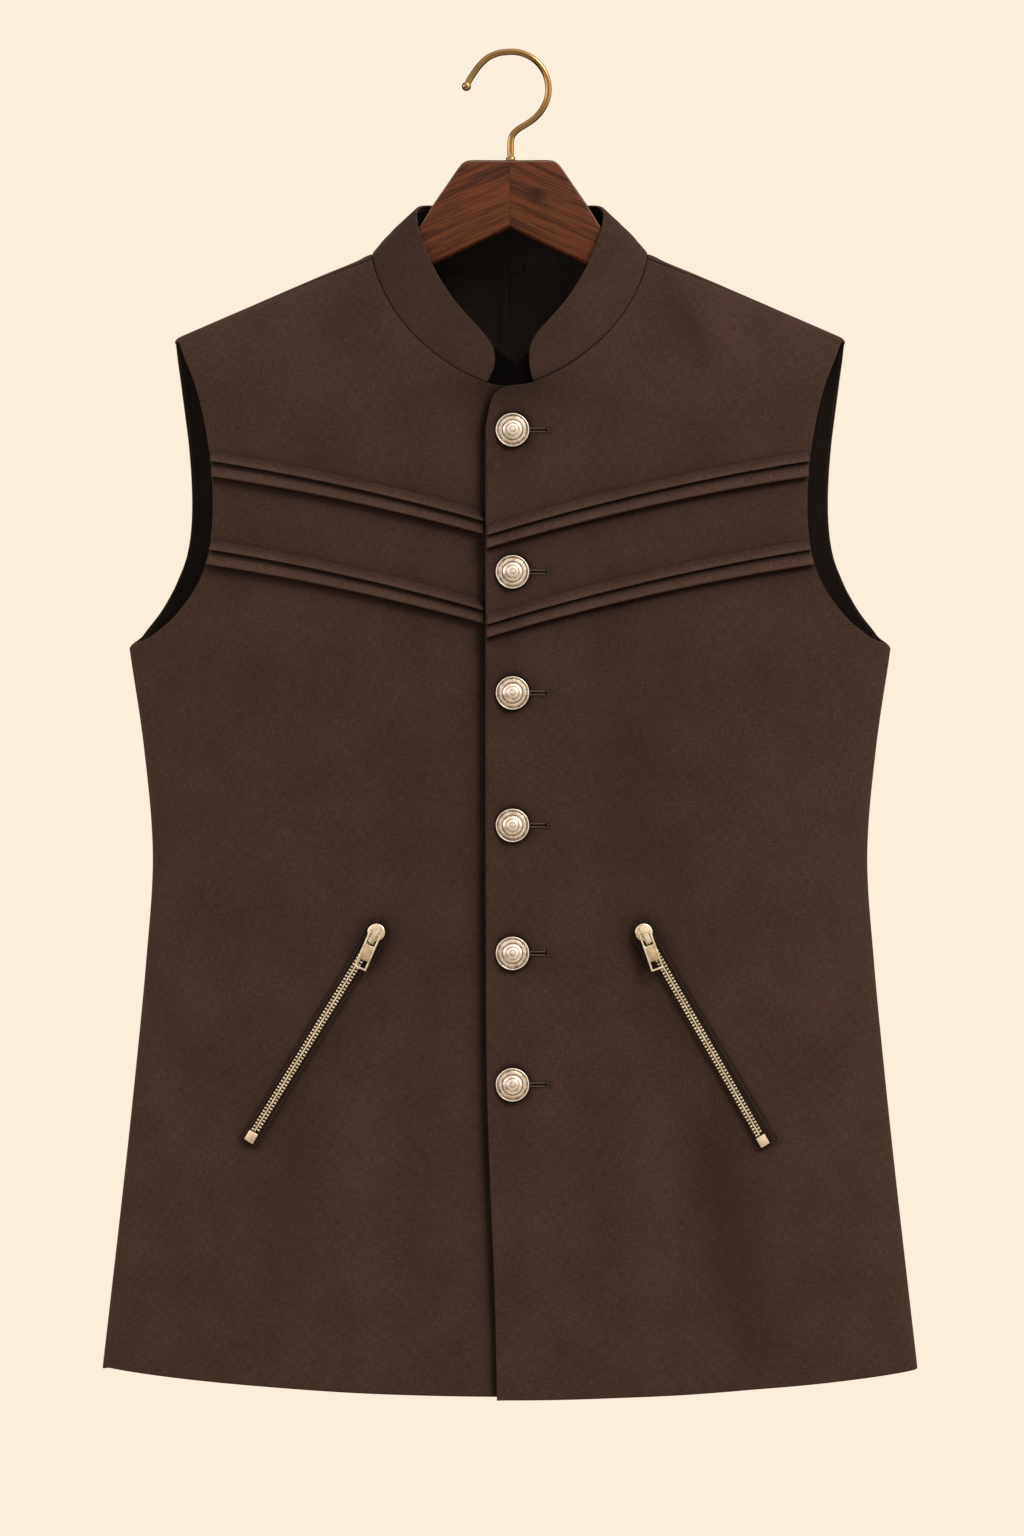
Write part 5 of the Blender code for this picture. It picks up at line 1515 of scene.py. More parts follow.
def make_buttonholes(dark, thread):
    """A buttonhole beside each button: two bound lips, a dark sheet between them as painted shade for the
    opening, and a bar tack at its end.
    """
    drop, out = (np.array(column) * MM for column in zip(*LIP_ROUND))
    x = np.linspace(BUTTONHOLE_START, BUTTONHOLE_END, 14)[:, None]
    width, height = BAR_TACK_SIZE
    for number, z in enumerate(BUTTON_HEIGHTS, start=1):
        for lip, offset in (("upper", BUTTONHOLE_LIP), ("lower", -BUTTONHOLE_LIP)):
            rings = front_point(1, x, z + offset - drop, out)
            ring_loft(f"buttonhole_{number}_{lip}_lip", rings, thread)
        make_slit_shade(f"buttonhole_{number}_slit", z, dark)
        for row, (share, reach) in enumerate(BAR_TACK_ROWS, start=1):
            tall = height * reach
            upright = z + np.linspace(-tall, tall, 12)
            path, normals = front_path(1, share * width + BAR_TACK_X, upright, THREAD_OUT)
            stitch_row(f"bar_tack_{number}_{row}", path, normals, thread, TACK_STITCH)


# ---------------------------------------------------------------- hanger and hook

# x, top z, bottom z, half thickness, corner radius
HANGER_SECTIONS = (
    (0.0, -0.0699, -0.1141, 0.0060, 0.0020),
    (0.0120, -0.0699, -0.1197, 0.0060, 0.0020),
    (0.0255, -0.0699, -0.1261, 0.0060, 0.0020),
    (0.0295, -0.0708, -0.1280, 0.0060, 0.0020),
    (0.0330, -0.0737, -0.1296, 0.0060, 0.0020),
    (0.0420, -0.0866, -0.1339, 0.0060, 0.0022),
    (0.0510, -0.0996, -0.1381, 0.0059, 0.0024),
    (0.0590, -0.1120, -0.1418, 0.0058, 0.0030),
    (0.0680, -0.1235, -0.1461, 0.0057, 0.0036),
    (0.0790, -0.1328, -0.1512, 0.0056, 0.0042),
    (0.0920, -0.1380, -0.1570, 0.0055, 0.0046),
    (0.1200, -0.1496, -0.1685, 0.0050, 0.0044),
    (0.1550, -0.1647, -0.1838, 0.0045, 0.0040),
    (0.1850, -0.1772, -0.1960, 0.0040, 0.0036),
    (0.1950, -0.1820, -0.1985, 0.0034, 0.0030),
    (0.1985, -0.1860, -0.1960, 0.0022, 0.0018),
)
HANGER_STEPS = 7
HANGER_CORNER_STEPS = 7

WIRE_RADIUS = 2.15 * MM
HOOK_RADIUS = 24.4 * MM
HOOK_CENTRE = (1.0 * MM, -22.15 * MM)
HOOK_START_ANGLE = math.radians(95.0)
HOOK_END_ANGLE = math.radians(-28.0)
HOOK_ARC_STEPS = 11
# x, z from the ball at the tip to the start of the round
HOOK_TIP = (
    (-0.0288, -0.0206), (-0.0270, -0.0168), (-0.0242, -0.0123), (-0.0198, -0.0064), (-0.0146, -0.0017),
    (-0.0080, 0.0012),
)
# x, z from the end of the round to the shank
HOOK_NECK = (
    (0.0197, -0.0380), (0.0155, -0.0423), (0.0109, -0.0455), (0.0062, -0.0483), (0.0034, -0.0506),
    (0.0012, -0.0538), (0.0004, -0.0580), (0.0004, -0.0640),
)
HOOK_FOOT_Z = -0.0696
BALL_RADIUS = 3.1 * MM
# In mm: radius, height above the wood
FERRULE_PROFILE = (
    (3.9, 0.05), (3.9, 0.45), (3.6, 0.75), (3.25, 1.1), (3.1, 1.7), (3.0, 2.4), (2.7, 2.7), (2.3, 2.8),
)


def make_hanger_half(name, side, material):
    """One arm of the hanger: rounded sections from the centre seam out into the shoulder.  Each point of its
    upper corners carries how far it turns away from the front and back faces, for a painted highlight and
    painted shade along those edges."""
    rows = [row[0] for row in HANGER_SECTIONS]
    steps = [np.linspace(a, b, HANGER_STEPS, endpoint=False) for a, b in zip(rows, rows[1:])]
    x = np.concatenate((*steps, rows[-1:]))
    top, bottom, half, radius = (read(HANGER_SECTIONS, x, column)[:, None] for column in (1, 2, 3, 4))
    turns = np.radians(np.linspace(0, 90, HANGER_CORNER_STEPS))
    rings, turned_off = [], []
    for y_sign, z, start in ((1, top - radius, 0), (-1, top - radius, 90), (-1, bottom + radius, 180),
                             (1, bottom + radius, 270)):
        angle = turns + math.radians(start)
        y = y_sign * (half - radius) + radius * np.cos(angle)
        rings.append(np.stack(np.broadcast_arrays(side * x[:, None], y, z + radius * np.sin(angle)), axis=-1))
        turned_off.append(1 - np.abs(np.cos(angle)) if start < 180 else 0 * angle)
    piece = ring_loft(name, np.concatenate(rings, axis=1), material, np.concatenate(turned_off))
    finish_mesh(piece.data, material, 30)
    return piece


def set_painted_light_by_facing(piece):
    """Store how far each point of a piece faces straight forwards or back, from 0 to 1, for painted light."""
    normals = np.empty(len(piece.data.vertices) * 3)
    piece.data.vertex_normals.foreach_get("vector", normals)
    set_painted_light(piece.data, np.abs(normals.reshape(-1, 3)[:, 1]))
    return piece


def make_hook(material):
    """The bent wire of the hook with the ball at its tip."""
    angles = np.linspace(HOOK_START_ANGLE, HOOK_END_ANGLE, HOOK_ARC_STEPS)
    x, z = HOOK_CENTRE
    arc = [(x + HOOK_RADIUS * math.cos(angle), z + HOOK_RADIUS * math.sin(angle)) for angle in angles]
    places = route([*HOOK_TIP, *arc, *HOOK_NECK], np.linspace(0, 1, 120)).tolist()
    places.append([places[-1][0], HOOK_FOOT_Z])
    curve = bpy.data.curves.new("bent_hook", "CURVE")
    curve.dimensions = "3D"
    curve.bevel_depth = WIRE_RADIUS
    curve.bevel_resolution = 6
    curve.use_fill_caps = True
    spline = curve.splines.new("POLY")
    spline.points.add(len(places) - 1)
    for point, (x, z) in zip(spline.points, places):
        point.co = (x, 0.0, z, 1.0)
    wire = bpy.data.objects.new("bent_hook", curve)
    bpy.context.scene.collection.objects.link(wire)
    make_active(wire)
    bpy.ops.object.convert(target="MESH")
    hook = bpy.context.object
    bpy.ops.object.mode_set(mode="EDIT")
    bpy.ops.mesh.select_all(action="SELECT")
    bpy.ops.mesh.remove_doubles(threshold=0.01 * MM)
    bpy.ops.mesh.normals_make_consistent(inside=False)
    bpy.ops.object.mode_set(mode="OBJECT")
    clear_selection()
    tip = (HOOK_TIP[0][0], 0.0, HOOK_TIP[0][1])
    bpy.ops.mesh.primitive_uv_sphere_add(segments=32, ring_count=20, radius=BALL_RADIUS, location=tip)
    ball = bpy.context.object
    bpy.ops.object.transform_apply(location=True, rotation=True, scale=True)
    shape_with(hook, ball, "UNION")
    return set_painted_light_by_facing(set_down(hook, Matrix.Identity(4), material))


def make_ferrule(material):
    ferrule = turned("flared_ferrule", [(radius * MM, height * MM) for radius, height in FERRULE_PROFILE], 40)
    foot = Matrix.Translation((HOOK_NECK[-1][0], 0.0, HANGER_SECTIONS[0][1]))
    return set_painted_light_by_facing(set_down(ferrule, foot, material))


# ---------------------------------------------------------------- materials


def linear(hex_colour):
    """An sRGB hex colour as linear red, green, blue and alpha."""
    shares = [int(hex_colour[i:i + 2], 16) / 255 for i in (1, 3, 5)]
    return (*[s / 12.92 if s <= 0.04045 else ((s + 0.055) / 1.055) ** 2.4 for s in shares], 1.0)


def set_inputs(tree, node, inputs):
    """Give a node's inputs a number, a colour or another node's output each."""
    for key, value in inputs.items():
        if isinstance(value, bpy.types.NodeSocket):
            tree.links.new(value, node.inputs[key])
        else:
            node.inputs[key].default_value = value


def add_node(tree, kind, inputs, stops=(), **settings):
    """A shader node with its settings and links.  A ramp's stops are places with a hex colour or a grey."""
    node = tree.nodes.new(f"ShaderNode{kind}")
    for name, value in settings.items():
        setattr(node, name, value)
    set_inputs(tree, node, inputs)
    tones = [linear(tone) if isinstance(tone, str) else (tone, tone, tone, 1.0) for place, tone in stops]
    for k in (0, -1) if stops else ():
        node.color_ramp.elements[k].position = stops[k][0]
        node.color_ramp.elements[k].color = tones[k]
    for (place, tone), colour in list(zip(stops, tones))[1:-1]:
        node.color_ramp.elements.new(place).color = colour
    return node


def new_material(name):
    material = bpy.data.materials.new(name)
    material.use_nodes = True
    return material, material.node_tree, material.node_tree.nodes["Principled BSDF"]


def stretched_noise(tree, coords, size, detail=2.0):
    """Noise whose grains are size (x, y, z) metres across; returns its value from 0 to 1."""
    scale = [1.0 / max(length, 1e-6) for length in size]
    place = add_node(tree, "Mapping", {"Vector": coords, "Scale": scale})
    noise = add_node(tree, "TexNoise", {"Vector": place.outputs[0], "Scale": 1.0, "Detail": detail})
    return noise.outputs["Fac"]


def weave_suiting():
    """Worsted suiting, woven plain and slightly slubby: matt brown, with fine broken threads both ways and a
    faint haze of fibre at grazing angles.  Threads are 0.4 mm apart and are drawn 0.8 mm apart so they show.
    Cloth that is shaded by a fold, an edge or a button within 18 mm is painted deeper in tone, as painted
    shade.  The point attribute it reads is painted light: above zero a painted highlight on edges that roll
    over, on folds and on crease ridges, below zero painted shade in crease troughs, under the front of the
    collar and over the collar."""
    material, tree, shader = new_material("suiting_brown_slub_weave")
    coords = add_node(tree, "UVMap", {}, uv_map="metres").outputs[0]
    warp = stretched_noise(tree, coords, (0.75 * MM, 5.0 * MM, 1.0))
    weft = stretched_noise(tree, coords, (5.0 * MM, 0.75 * MM, 1.0))
    fleck = stretched_noise(tree, coords, (0.8 * MM, 0.8 * MM, 1.0))
    cloud = stretched_noise(tree, coords, (0.040, 0.050, 1.0), 5.0)
    threads = add_node(tree, "Math", {0: warp, 1: weft}, operation="ADD").outputs[0]
    threads = add_node(tree, "Math", {0: fleck, 1: 0.6, 2: threads}, operation="MULTIPLY_ADD").outputs[0]
    shade = add_node(tree, "Math", {0: threads, 1: 0.85, 2: -0.92}, operation="MULTIPLY_ADD").outputs[0]
    shade = add_node(tree, "Math", {0: cloud, 1: 0.62, 2: shade}, operation="MULTIPLY_ADD").outputs[0]
    brown = add_node(tree, "ValToRGB", {"Fac": shade}, ((0.0, "#33251f"), (1.0, "#5a453d")))
    # Painted shade: ambient occlusion within 18 mm darkens the colour near folds, edges and buttons
    open_share = add_node(tree, "AmbientOcclusion", {"Distance": 18.0 * MM}, samples=12).outputs["AO"]
    depth = add_node(tree, "MapRange", {"Value": open_share, "From Min": 0.80, "From Max": 1.0,
                                        "To Min": 0.34, "To Max": 1.0}).outputs[0]
    # Painted light read from each point: paler above zero, darker below
    painted_shading = add_node(tree, "Attribute", {}, attribute_name="painted_light").outputs["Fac"]
    painted_shading = add_node(tree, "Math", {0: painted_shading, 1: 1.0}, operation="ADD").outputs[0]
    depth = add_node(tree, "Math", {0: painted_shading, 1: depth}, operation="MULTIPLY").outputs[0]
    colour = add_node(tree, "VectorMath", {0: brown.outputs[0], 1: depth}, operation="MULTIPLY").outputs[0]
    bump = add_node(tree, "Bump", {"Height": threads, "Strength": 0.4, "Distance": 0.22 * MM})
    set_inputs(tree, shader, {"Base Color": colour, "Normal": bump.outputs[0], "Roughness": 0.86,
                              "Specular IOR Level": 0.08, "Sheen Weight": 0.12, "Sheen Roughness": 0.45,
                              "Sheen Tint": linear("#b8a096")})
    return material


def weave_lining(name, dark, light, gloss):
    """Acetate lining, satin woven and pressed: near black with a soft gloss along fine upright threads, which
    are 0.1 mm apart and are drawn 0.9 mm apart so they show."""
    material, tree, shader = new_material(name)
    coords = add_node(tree, "UVMap", {}, uv_map="metres").outputs[0]
    threads = stretched_noise(tree, coords, (0.9 * MM, 30.0 * MM, 1.0))
    ripple = stretched_noise(tree, coords, (0.020, 0.120, 1.0))
    colour = add_node(tree, "ValToRGB", {"Fac": threads}, ((0.0, dark), (1.0, light)))
    bump = add_node(tree, "Bump", {"Height": threads, "Strength": 0.15, "Distance": 0.1 * MM})
    bump = add_node(tree, "Bump", {"Height": ripple, "Strength": 0.5, "Distance": 1.2 * MM,
                                   "Normal": bump.outputs[0]})
    set_inputs(tree, shader, {"Base Color": colour.outputs[0], "Normal": bump.outputs[0], "Roughness": 0.55,
                              "Specular IOR Level": gloss})
    return material


def weave_tape():
    """Polyester zip tape, woven in a close twill: matt, nearly black brown, with slanted ribs that are 0.8 mm
    apart and are drawn 1.85 mm apart so they show."""
    material, tree, shader = new_material("zip_tape_dark_twill")
    coords = add_node(tree, "UVMap", {}, uv_map="metres").outputs[0]
    ribs = add_node(tree, "TexWave", {"Vector": coords, "Scale": 240.0, "Distortion": 1.2},
                    wave_type="BANDS", bands_direction="DIAGONAL").outputs["Fac"]
    colour = add_node(tree, "ValToRGB", {"Fac": ribs}, ((0.0, "#18100c"), (1.0, "#30231b")))
    bump = add_node(tree, "Bump", {"Height": ribs, "Strength": 0.4, "Distance": 0.1 * MM})
    set_inputs(tree, shader, {"Base Color": colour.outputs[0], "Normal": bump.outputs[0], "Roughness": 0.9,
                              "Specular IOR Level": 0.2})
    return material


def spin_thread():
    """Polyester sewing thread, twisted every 0.5 mm, in the suiting's own tones, with a slight shine."""
    material, tree, shader = new_material("sewing_thread_brown")
    coords = add_node(tree, "TexCoord", {}).outputs["Object"]
    twist = stretched_noise(tree, coords, (0.5 * MM, 0.5 * MM, 0.5 * MM), 1.0)
    colour = add_node(tree, "ValToRGB", {"Fac": twist}, ((0.0, "#2b1f19"), (1.0, "#5f4c43")))
    set_inputs(tree, shader, {"Base Color": colour.outputs[0], "Roughness": 0.6, "Specular IOR Level": 0.35})
    return material


def grime_and_painted_shade(tree, colour, reach, deep):
    """Darken a colour in the recesses within reach: painted shade where ambient occlusion finds them, with
    the dirt and oil that polishing doesn't clear.
    """
    open_share = add_node(tree, "AmbientOcclusion", {"Distance": reach}, samples=12).outputs["AO"]
    unshaded_and_clean = add_node(tree, "MapRange", {"Value": open_share, "From Min": 0.25, "From Max": 0.85,
                                        "To Min": deep, "To Max": 1.0}).outputs[0]
    return add_node(tree, "VectorMath", {0: colour, 1: unshaded_and_clean}, operation="MULTIPLY").outputs[0]


def cast_zip_metal(name, light, dark, roughness):
    """Pale gold plated zinc, tumbled after casting: bright, worn duller in patches 3.5 mm across, with
    painted shade and dirt in the recesses."""
    material, tree, shader = new_material(name)
    coords = add_node(tree, "TexCoord", {}).outputs["Object"]
    wear = stretched_noise(tree, coords, (3.5 * MM, 3.5 * MM, 3.5 * MM), 4.0)
    colour = add_node(tree, "ValToRGB", {"Fac": wear}, ((0.30, dark), (0.62, light)))
    rough = add_node(tree, "Math", {0: wear, 1: 0.15, 2: roughness - 0.07}, operation="MULTIPLY_ADD")
    bump = add_node(tree, "Bump", {"Height": wear, "Strength": 0.06, "Distance": 0.06 * MM})
    # Painted shade and dirt in the recesses
    shown = grime_and_painted_shade(tree, colour.outputs[0], 2.2 * MM, 0.22)
    set_inputs(tree, shader, {"Base Color": shown, "Metallic": 1.0, "Roughness": rough.outputs[0],
                              "Normal": bump.outputs[0]})
    return material


# How tarnished a button is, by shares of its radius
BUTTON_TARNISH = (
    (0.00, 0.45), (0.10, 0.25), (0.155, 0.9), (0.20, 0.25), (0.34, 0.3), (0.395, 0.95), (0.44, 0.15),
    (0.58, 0.1), (0.615, 1.0), (0.65, 0.35), (0.76, 0.5), (0.84, 0.8), (0.90, 0.9), (0.94, 0.1),
)


def strike_button_metal():
    """Struck white metal with a worn antique finish: bright on what stands up, tan tarnish in the grooves,
    and painted shade and dirt in the recesses.
    """
    material, tree, shader = new_material("button_antiqued_white_metal")
    plan = add_node(tree, "UVMap", {}, uv_map="metres").outputs[0]
    radius = add_node(tree, "VectorMath", {0: plan}, operation="LENGTH").outputs["Value"]
    share = add_node(tree, "Math", {0: radius, 1: BUTTON_RADIUS}, operation="DIVIDE").outputs[0]
    grooves = add_node(tree, "ValToRGB", {"Fac": share}, BUTTON_TARNISH)
    object_coords = add_node(tree, "TexCoord", {}).outputs["Object"]
    stain = stretched_noise(tree, object_coords, (3.2 * MM, 3.2 * MM, 3.2 * MM), 3.0)
    grit = stretched_noise(tree, object_coords, (0.5 * MM, 0.5 * MM, 0.5 * MM))
    dark = add_node(tree, "Math", {0: grooves.outputs[0], 1: stain}, operation="MULTIPLY").outputs[0]
    dark = add_node(tree, "Math", {0: stain, 1: 0.35, 2: dark}, operation="MULTIPLY_ADD").outputs[0]
    stops = ((0.20, "#e9e0d4"), (0.42, "#cdbfae"), (0.72, "#8d7a68"))
    colour = add_node(tree, "ValToRGB", {"Fac": dark}, stops)
    rough = add_node(tree, "Math", {0: dark, 1: 0.35, 2: 0.34}, operation="MULTIPLY_ADD")
    bump = add_node(tree, "Bump", {"Height": grit, "Strength": 0.25, "Distance": 0.12 * MM})
    # Painted shade and dirt in the recesses
    shown = grime_and_painted_shade(tree, colour.outputs[0], 0.9 * MM, 0.40)
    set_inputs(tree, shader, {"Base Color": shown, "Metallic": 1.0, "Roughness": rough.outputs[0],
                              "Normal": bump.outputs[0]})
    return material


# Painted light from the wire's sides to its front: painted shade on the sides, painted highlights in a
# stripe each side of the front, browner at the front itself
BRASS_PAINTED_LIGHT = (
    (0.0, "#3c2911"), (0.45, "#5f411c"), (0.75, "#a67f4c"), (0.88, "#b8925c"), (0.96, "#8a6534"),
    (1.0, "#84602f"),
)


def age_brass():
    """Brass wire under an antique lacquer of uneven thickness, its colour painted by how it faces: painted
    highlights in two stripes along the wire, browner between them, and painted shade on its sides.  The
    point attribute it reads says how far the metal faces straight forwards or back."""
    material, tree, shader = new_material("hook_brass_painted_light")
    coords = add_node(tree, "TexCoord", {}).outputs["Object"]
    # Painted light and shade by the way the metal faces
    front = add_node(tree, "Attribute", {}, attribute_name="painted_light").outputs["Fac"]
    painted_bands = add_node(tree, "ValToRGB", {"Fac": front}, BRASS_PAINTED_LIGHT)
    lacquer = stretched_noise(tree, coords, (14.0 * MM, 14.0 * MM, 14.0 * MM))
    thick = add_node(tree, "MapRange", {"Value": lacquer, "From Min": 0.3, "From Max": 0.7,
                                        "To Min": 0.8, "To Max": 1.1}).outputs[0]
    shown = add_node(tree, "VectorMath", {0: painted_bands.outputs[0], 1: thick}, operation="MULTIPLY").outputs[0]
    set_inputs(tree, shader, {"Base Color": shown, "Metallic": 1.0, "Roughness": 0.24, "Coat Weight": 0.3,
                              "Coat Roughness": 0.10})
    return material


GRAIN_ANGLE = math.radians(23.5)
KNOT = (0.0175, 0.0, -0.0920)
KNOT_REACH = 5.0 * MM
WOOD_STREAKS = ((0.28, "#371e14"), (0.42, "#4c291b"), (0.55, "#6d3d27"), (0.72, "#7c452b"))
# Painted highlight added round the arris, for the light the rounded upper edges catch
WOOD_ARRIS_HIGHLIGHT = ((0.02, "#000000"), (0.09, "#776760"), (0.20, "#000000"))


def stain_wood():
    """Hardwood stained red brown under thin satin lacquer: long grain along each arm, streaked dark and
    light, bending round one small knot.  A dark glue line shows where the two arms meet.  The point
    attribute it reads says where the upper edges round over: a light grey painted highlight there, then
    painted shade running dark towards the top faces, which shows as a dark outline."""
    material, tree, shader = new_material("hanger_stained_hardwood")
    coords = add_node(tree, "TexCoord", {}).outputs["Object"]
    split = add_node(tree, "SeparateXYZ", {0: coords})
    x, y, z = split.outputs
    away = add_node(tree, "Math", {0: x}, operation="ABSOLUTE").outputs[0]
    right = add_node(tree, "Math", {0: x, 1: 0.0}, operation="GREATER_THAN").outputs[0]
    sine, cosine = math.sin(GRAIN_ANGLE), math.cos(GRAIN_ANGLE)
    across = add_node(tree, "Math", {0: away, 1: sine}, operation="MULTIPLY").outputs[0]
    across = add_node(tree, "Math", {0: z, 1: cosine, 2: across}, operation="MULTIPLY_ADD").outputs[0]
    along = add_node(tree, "Math", {0: z, 1: -sine}, operation="MULTIPLY").outputs[0]
    along = add_node(tree, "Math", {0: away, 1: cosine, 2: along}, operation="MULTIPLY_ADD").outputs[0]
    face = add_node(tree, "CombineXYZ", {0: x, 1: 0.0, 2: z}).outputs[0]
    from_knot = add_node(tree, "VectorMath", {0: face, 1: KNOT}, operation="DISTANCE").outputs["Value"]
    near = add_node(tree, "Math", {0: from_knot, 1: KNOT_REACH}, operation="DIVIDE").outputs[0]
    near = add_node(tree, "Math", {0: near, 1: -1.6}, operation="MULTIPLY").outputs[0]
    near = add_node(tree, "Math", {0: near}, operation="EXPONENT").outputs[0]
    across = add_node(tree, "Math", {0: near, 1: 3.4 * MM, 2: across}, operation="MULTIPLY_ADD").outputs[0]
    across = add_node(tree, "Math", {0: right, 1: 0.37, 2: across}, operation="MULTIPLY_ADD").outputs[0]
    grain_place = add_node(tree, "CombineXYZ", {0: along, 1: across, 2: y}).outputs[0]
    broad = stretched_noise(tree, grain_place, (0.060, 4.2 * MM, 0.020), 4.0)
    fine = stretched_noise(tree, grain_place, (0.022, 0.8 * MM, 0.010), 4.0)
    pores = stretched_noise(tree, grain_place, (3.5 * MM, 0.35 * MM, 2.0 * MM), 1.0)
    figure = add_node(tree, "Math", {0: fine, 1: 0.70, 2: -0.16}, operation="MULTIPLY_ADD").outputs[0]
    figure = add_node(tree, "Math", {0: broad, 1: 0.62, 2: figure}, operation="MULTIPLY_ADD").outputs[0]
    knot_dark = add_node(tree, "Math", {0: near, 1: -0.42, 2: figure}, operation="MULTIPLY_ADD").outputs[0]
    colour = add_node(tree, "ValToRGB", {"Fac": knot_dark}, WOOD_STREAKS)
    bump = add_node(tree, "Bump", {"Height": pores, "Strength": 0.12, "Distance": 0.08 * MM})
    glue = add_node(tree, "MapRange", {"Value": away, "From Min": 0.15 * MM, "From Max": 0.45 * MM,
                                       "To Min": 0.5, "To Max": 1.0}).outputs[0]
    shown = add_node(tree, "VectorMath", {0: colour.outputs[0], 1: glue}, operation="MULTIPLY").outputs[0]
    # Painted highlight round the upper arris, then painted shade towards the top faces
    arris = add_node(tree, "Attribute", {}, attribute_name="painted_light").outputs["Fac"]
    arris_highlight = add_node(tree, "ValToRGB", {"Fac": arris}, WOOD_ARRIS_HIGHLIGHT).outputs[0]
    dark = add_node(tree, "MapRange", {"Value": arris, "From Min": 0.16, "From Max": 0.36,
                                       "To Min": 1.0, "To Max": 0.12}).outputs[0]
    shown = add_node(tree, "VectorMath", {0: shown, 1: dark, 2: arris_highlight}, operation="MULTIPLY_ADD").outputs[0]
    set_inputs(tree, shader, {"Base Color": shown, "Roughness": 0.48, "Normal": bump.outputs[0],
                              "Specular IOR Level": 0.15, "Coat Weight": 0.05, "Coat Roughness": 0.25})
    return material


# ---------------------------------------------------------------- stage, light and camera

FLOOR_Z = -1.30
FLOOR_SIZE = 2.4
CAMERA_PLACE = (0.0013, -2.8126, -0.4705)
FRAME_HEIGHT = 0.9984
FRONT_PLANE_Y = -0.0426
SENSOR = 36.0
# Towards the middle of the bright wall that the metals mirror
WINDOW_WAY = (0.46, -0.54, 0.705)


def make_stage():
    clear_selection()
    bpy.ops.mesh.primitive_plane_add(size=FLOOR_SIZE, location=(0, 0, FLOOR_Z))
    floor = bpy.context.object
    floor.name = "pale_floor"
    bpy.ops.object.transform_apply(location=True, rotation=True, scale=True)
    material, tree, shader = new_material("floor_pale_paper")
    set_inputs(tree, shader, {"Base Color": linear("#f3e8d8"), "Roughness": 0.9})
    floor.data.materials.append(material)


def make_light(name, place, aim, size, energy, colour):
    light = bpy.data.lights.new(name, "AREA")
    light.shape = "RECTANGLE"
    light.size, light.size_y = size
    light.energy = energy
    light.color = linear(colour)[:3]
    lamp = bpy.data.objects.new(name, light)
    lamp.location = place
    lamp.rotation_euler = (Vector(aim) - Vector(place)).to_track_quat("-Z", "Y").to_euler()
    bpy.context.scene.collection.objects.link(lamp)


def make_studio():
    """Soft studio light: a key, a fill, one light at each side and one behind, and a cream wall."""
    chest = (0.0, 0.0, -0.45)
    make_light("key", (2.5, -2.3, 2.7), chest, (1.5, 1.5), 132.0, "#fff8f0")
    make_light("fill", (-2.5, -2.6, 0.3), chest, (2.4, 2.4), 26.0, "#fff4e8")
    make_light("side_left", (-2.6, -0.3, 0.3), chest, (1.4, 1.8), 26.0, "#fff6ea")
    make_light("side_right", (2.6, -0.2, 0.2), chest, (1.4, 1.8), 12.0, "#fff6ea")
    make_light("behind", (0.0, 2.8, 1.2), chest, (2.4, 1.6), 30.0, "#fff6ea")
    world = bpy.data.worlds.new("cream_wall")
    bpy.context.scene.world = world
    world.use_nodes = True
    tree = world.node_tree
    tree.nodes.clear()
    path = add_node(tree, "LightPath", {})
    seen = add_node(tree, "Background", {"Color": linear("#fbeedb"), "Strength": 1.0})
    way = add_node(tree, "TexCoord", {}).outputs["Generated"]
    facing = add_node(tree, "VectorMath", {0: way, 1: WINDOW_WAY}, operation="DOT_PRODUCT").outputs["Value"]
    glow = add_node(tree, "MapRange", {"Value": facing, "From Min": -0.20, "From Max": 0.95,
                                       "To Min": 0.10, "To Max": 1.45}).outputs[0]
    mirrored = add_node(tree, "Background", {"Color": linear("#fbf3e8"), "Strength": glow})
    ambient = add_node(tree, "Background", {"Color": linear("#fbf3e8"), "Strength": 0.16})
    unseen = add_node(tree, "MixShader", {0: path.outputs["Is Glossy Ray"], 1: ambient.outputs[0],
                                          2: mirrored.outputs[0]})
    both = add_node(tree, "MixShader", {0: path.outputs["Is Camera Ray"], 1: unseen.outputs[0],
                                        2: seen.outputs[0]})
    add_node(tree, "OutputWorld", {0: both.outputs[0]})
    view = bpy.context.scene.view_settings
    view.view_transform = "Standard"
    view.look = "None"
    view.exposure = 0.0
    view.gamma = 1.0


def make_camera():
    camera = bpy.data.cameras.new("camera")
    camera.sensor_fit = "VERTICAL"
    camera.sensor_height = SENSOR
    camera.lens = SENSOR * (FRONT_PLANE_Y - CAMERA_PLACE[1]) / FRAME_HEIGHT
    eye = bpy.data.objects.new("camera", camera)
    eye.location = CAMERA_PLACE
    eye.rotation_euler = (math.radians(90), 0, 0)
    bpy.context.scene.collection.objects.link(eye)
    bpy.context.scene.camera = eye


# ---------------------------------------------------------------- the jacket


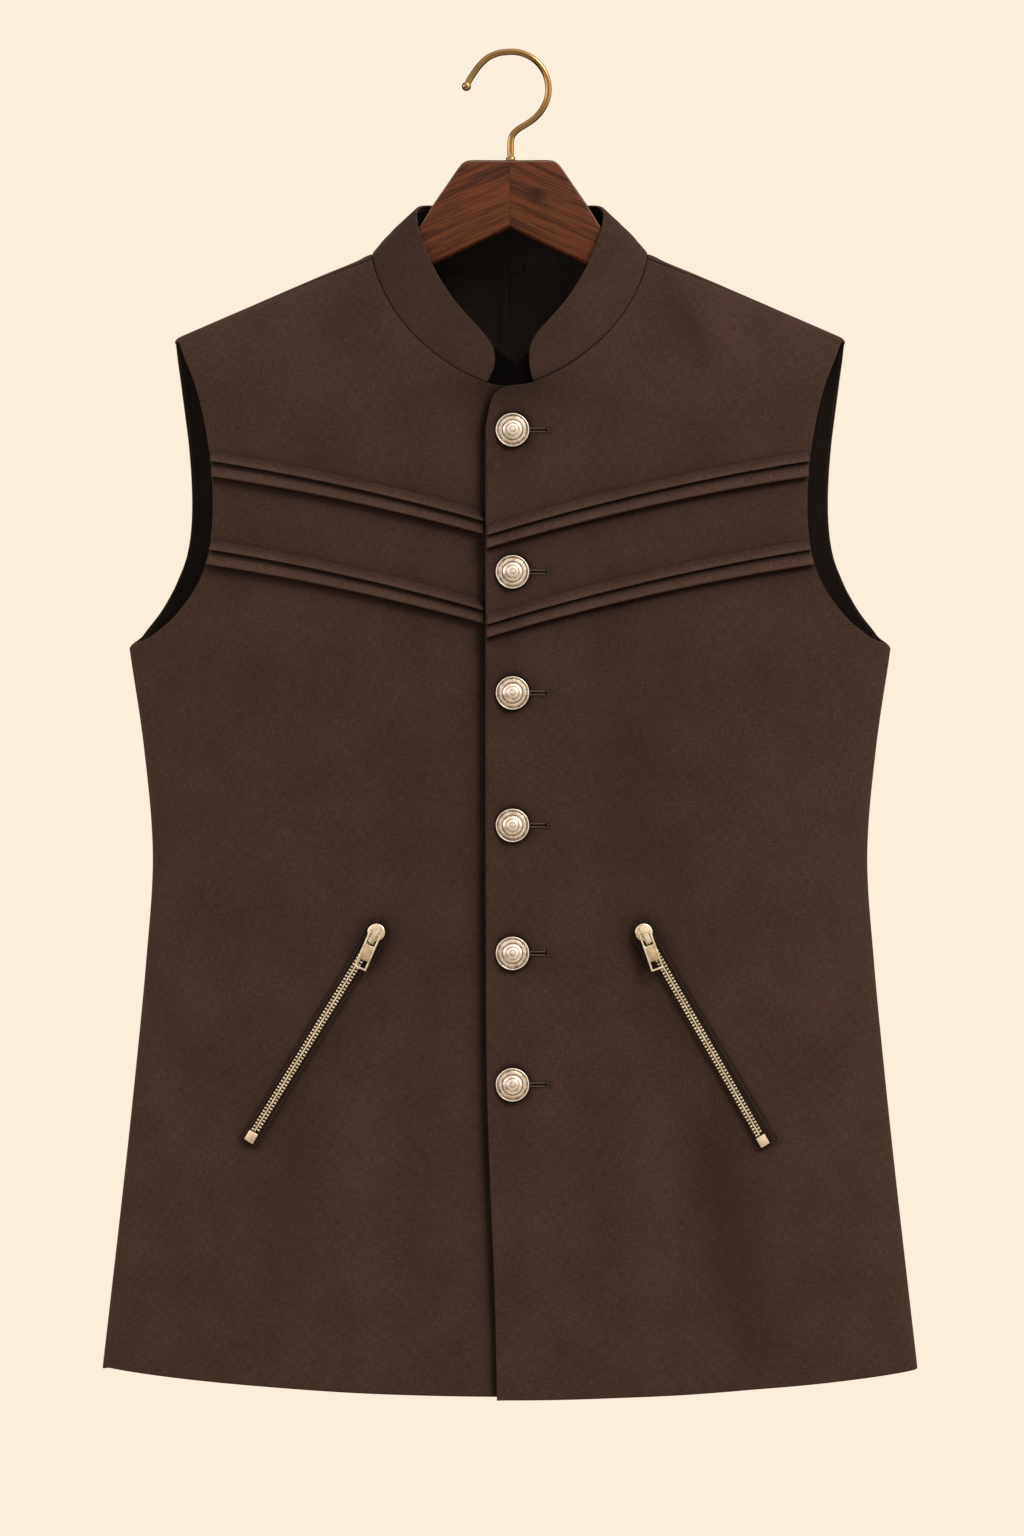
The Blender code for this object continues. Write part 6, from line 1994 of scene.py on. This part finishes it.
def make_garment(suiting, lining, facing, thread):
    left_neck = front_neck_spots(LAP_CORNER)
    right_neck = front_neck_spots(((UNDER_EDGE_X, NECK_FRONT_Z),))
    fronts = (
        ("left", 1, left_neck, lap_edge, 0.0),
        ("right", -1, right_neck, under_edge, UNDER_LAYER_HEM_RISE),
    )
    for name, side, neck, edge, rise in fronts:
        grid = panel_grid(FRONT, neck, edge, FRONT_ARMHOLE, rise)
        front = make_front(f"front_{name}_panel", side, grid, suiting)
        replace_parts(front, f"front_{name}")
        inside = make_front_lining(f"front_{name}_lining", side, grid, lining)
        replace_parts(inside, f"lining_front_{name}")
    grid = panel_grid(BACK, back_neck_spots(), centre_back, BACK_ARMHOLE)
    back = make_back(grid, suiting)
    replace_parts(back, "back")
    back_lining = make_back_lining(grid, lining)
    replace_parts(back_lining, "lining_back")
    pleat = make_lining_pleat(lining)
    loop = make_hanging_loop(lining)
    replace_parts(loop, "hanger_loop")
    collar, inner = make_collar(suiting, lining)
    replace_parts(collar, "collar")
    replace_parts(inner, "collar_facing")
    behind = WALL + LINING_WALL + NEAR_FACING_GAP
    # The facings wear the darker copy of the lining, as painted shade
    near = make_neck_facing("neck_facing_left", 1, 0.0, behind, facing)
    far = make_neck_facing("neck_facing_right", -1, FAR_FACING_LEAN, behind + FAR_FACING_GAP, facing)
    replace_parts(near, "neck_facing")
    for tuck in make_tucks(suiting, thread):
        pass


def main():
    suiting, tape, thread = weave_suiting(), weave_tape(), spin_thread()
    lining = weave_lining("lining_black_acetate_satin", "#1e1916", "#332c27", 0.05)
    # A darker copy of the lining as painted shade, for the neck facings that lie in shade behind the collar
    # and the dark sheets in the buttonholes
    facing = weave_lining("painted_shade_black_acetate_satin", "#050403", "#0b0908", 0.01)
    chain = cast_zip_metal("zip_pale_gold_bright", "#e9dac1", "#c9b592", 0.28)
    satin = cast_zip_metal("zip_pale_gold_satin", "#e6d4b6", "#cdb692", 0.34)
    sunk = cast_zip_metal("zip_pale_gold_sunk_satin", "#c9b291", "#b39a78", 0.42)
    brass, wood = age_brass(), stain_wood()
    make_camera()
    for side, name in ((1, "left"), (-1, "right")):
        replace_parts(make_hanger_half(f"wooden_hanger_{name}", side, wood), f"hanger_{name}")
    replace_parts(make_hook(brass), "hook")
    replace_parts(make_ferrule(brass), "hook_ferrule")
    make_garment(suiting, lining, facing, thread)
    make_zips(suiting, tape, chain, satin, sunk, thread)
    make_buttons(strike_button_metal())
    make_buttonholes(facing, thread)
    make_stage()
    make_studio()


main()
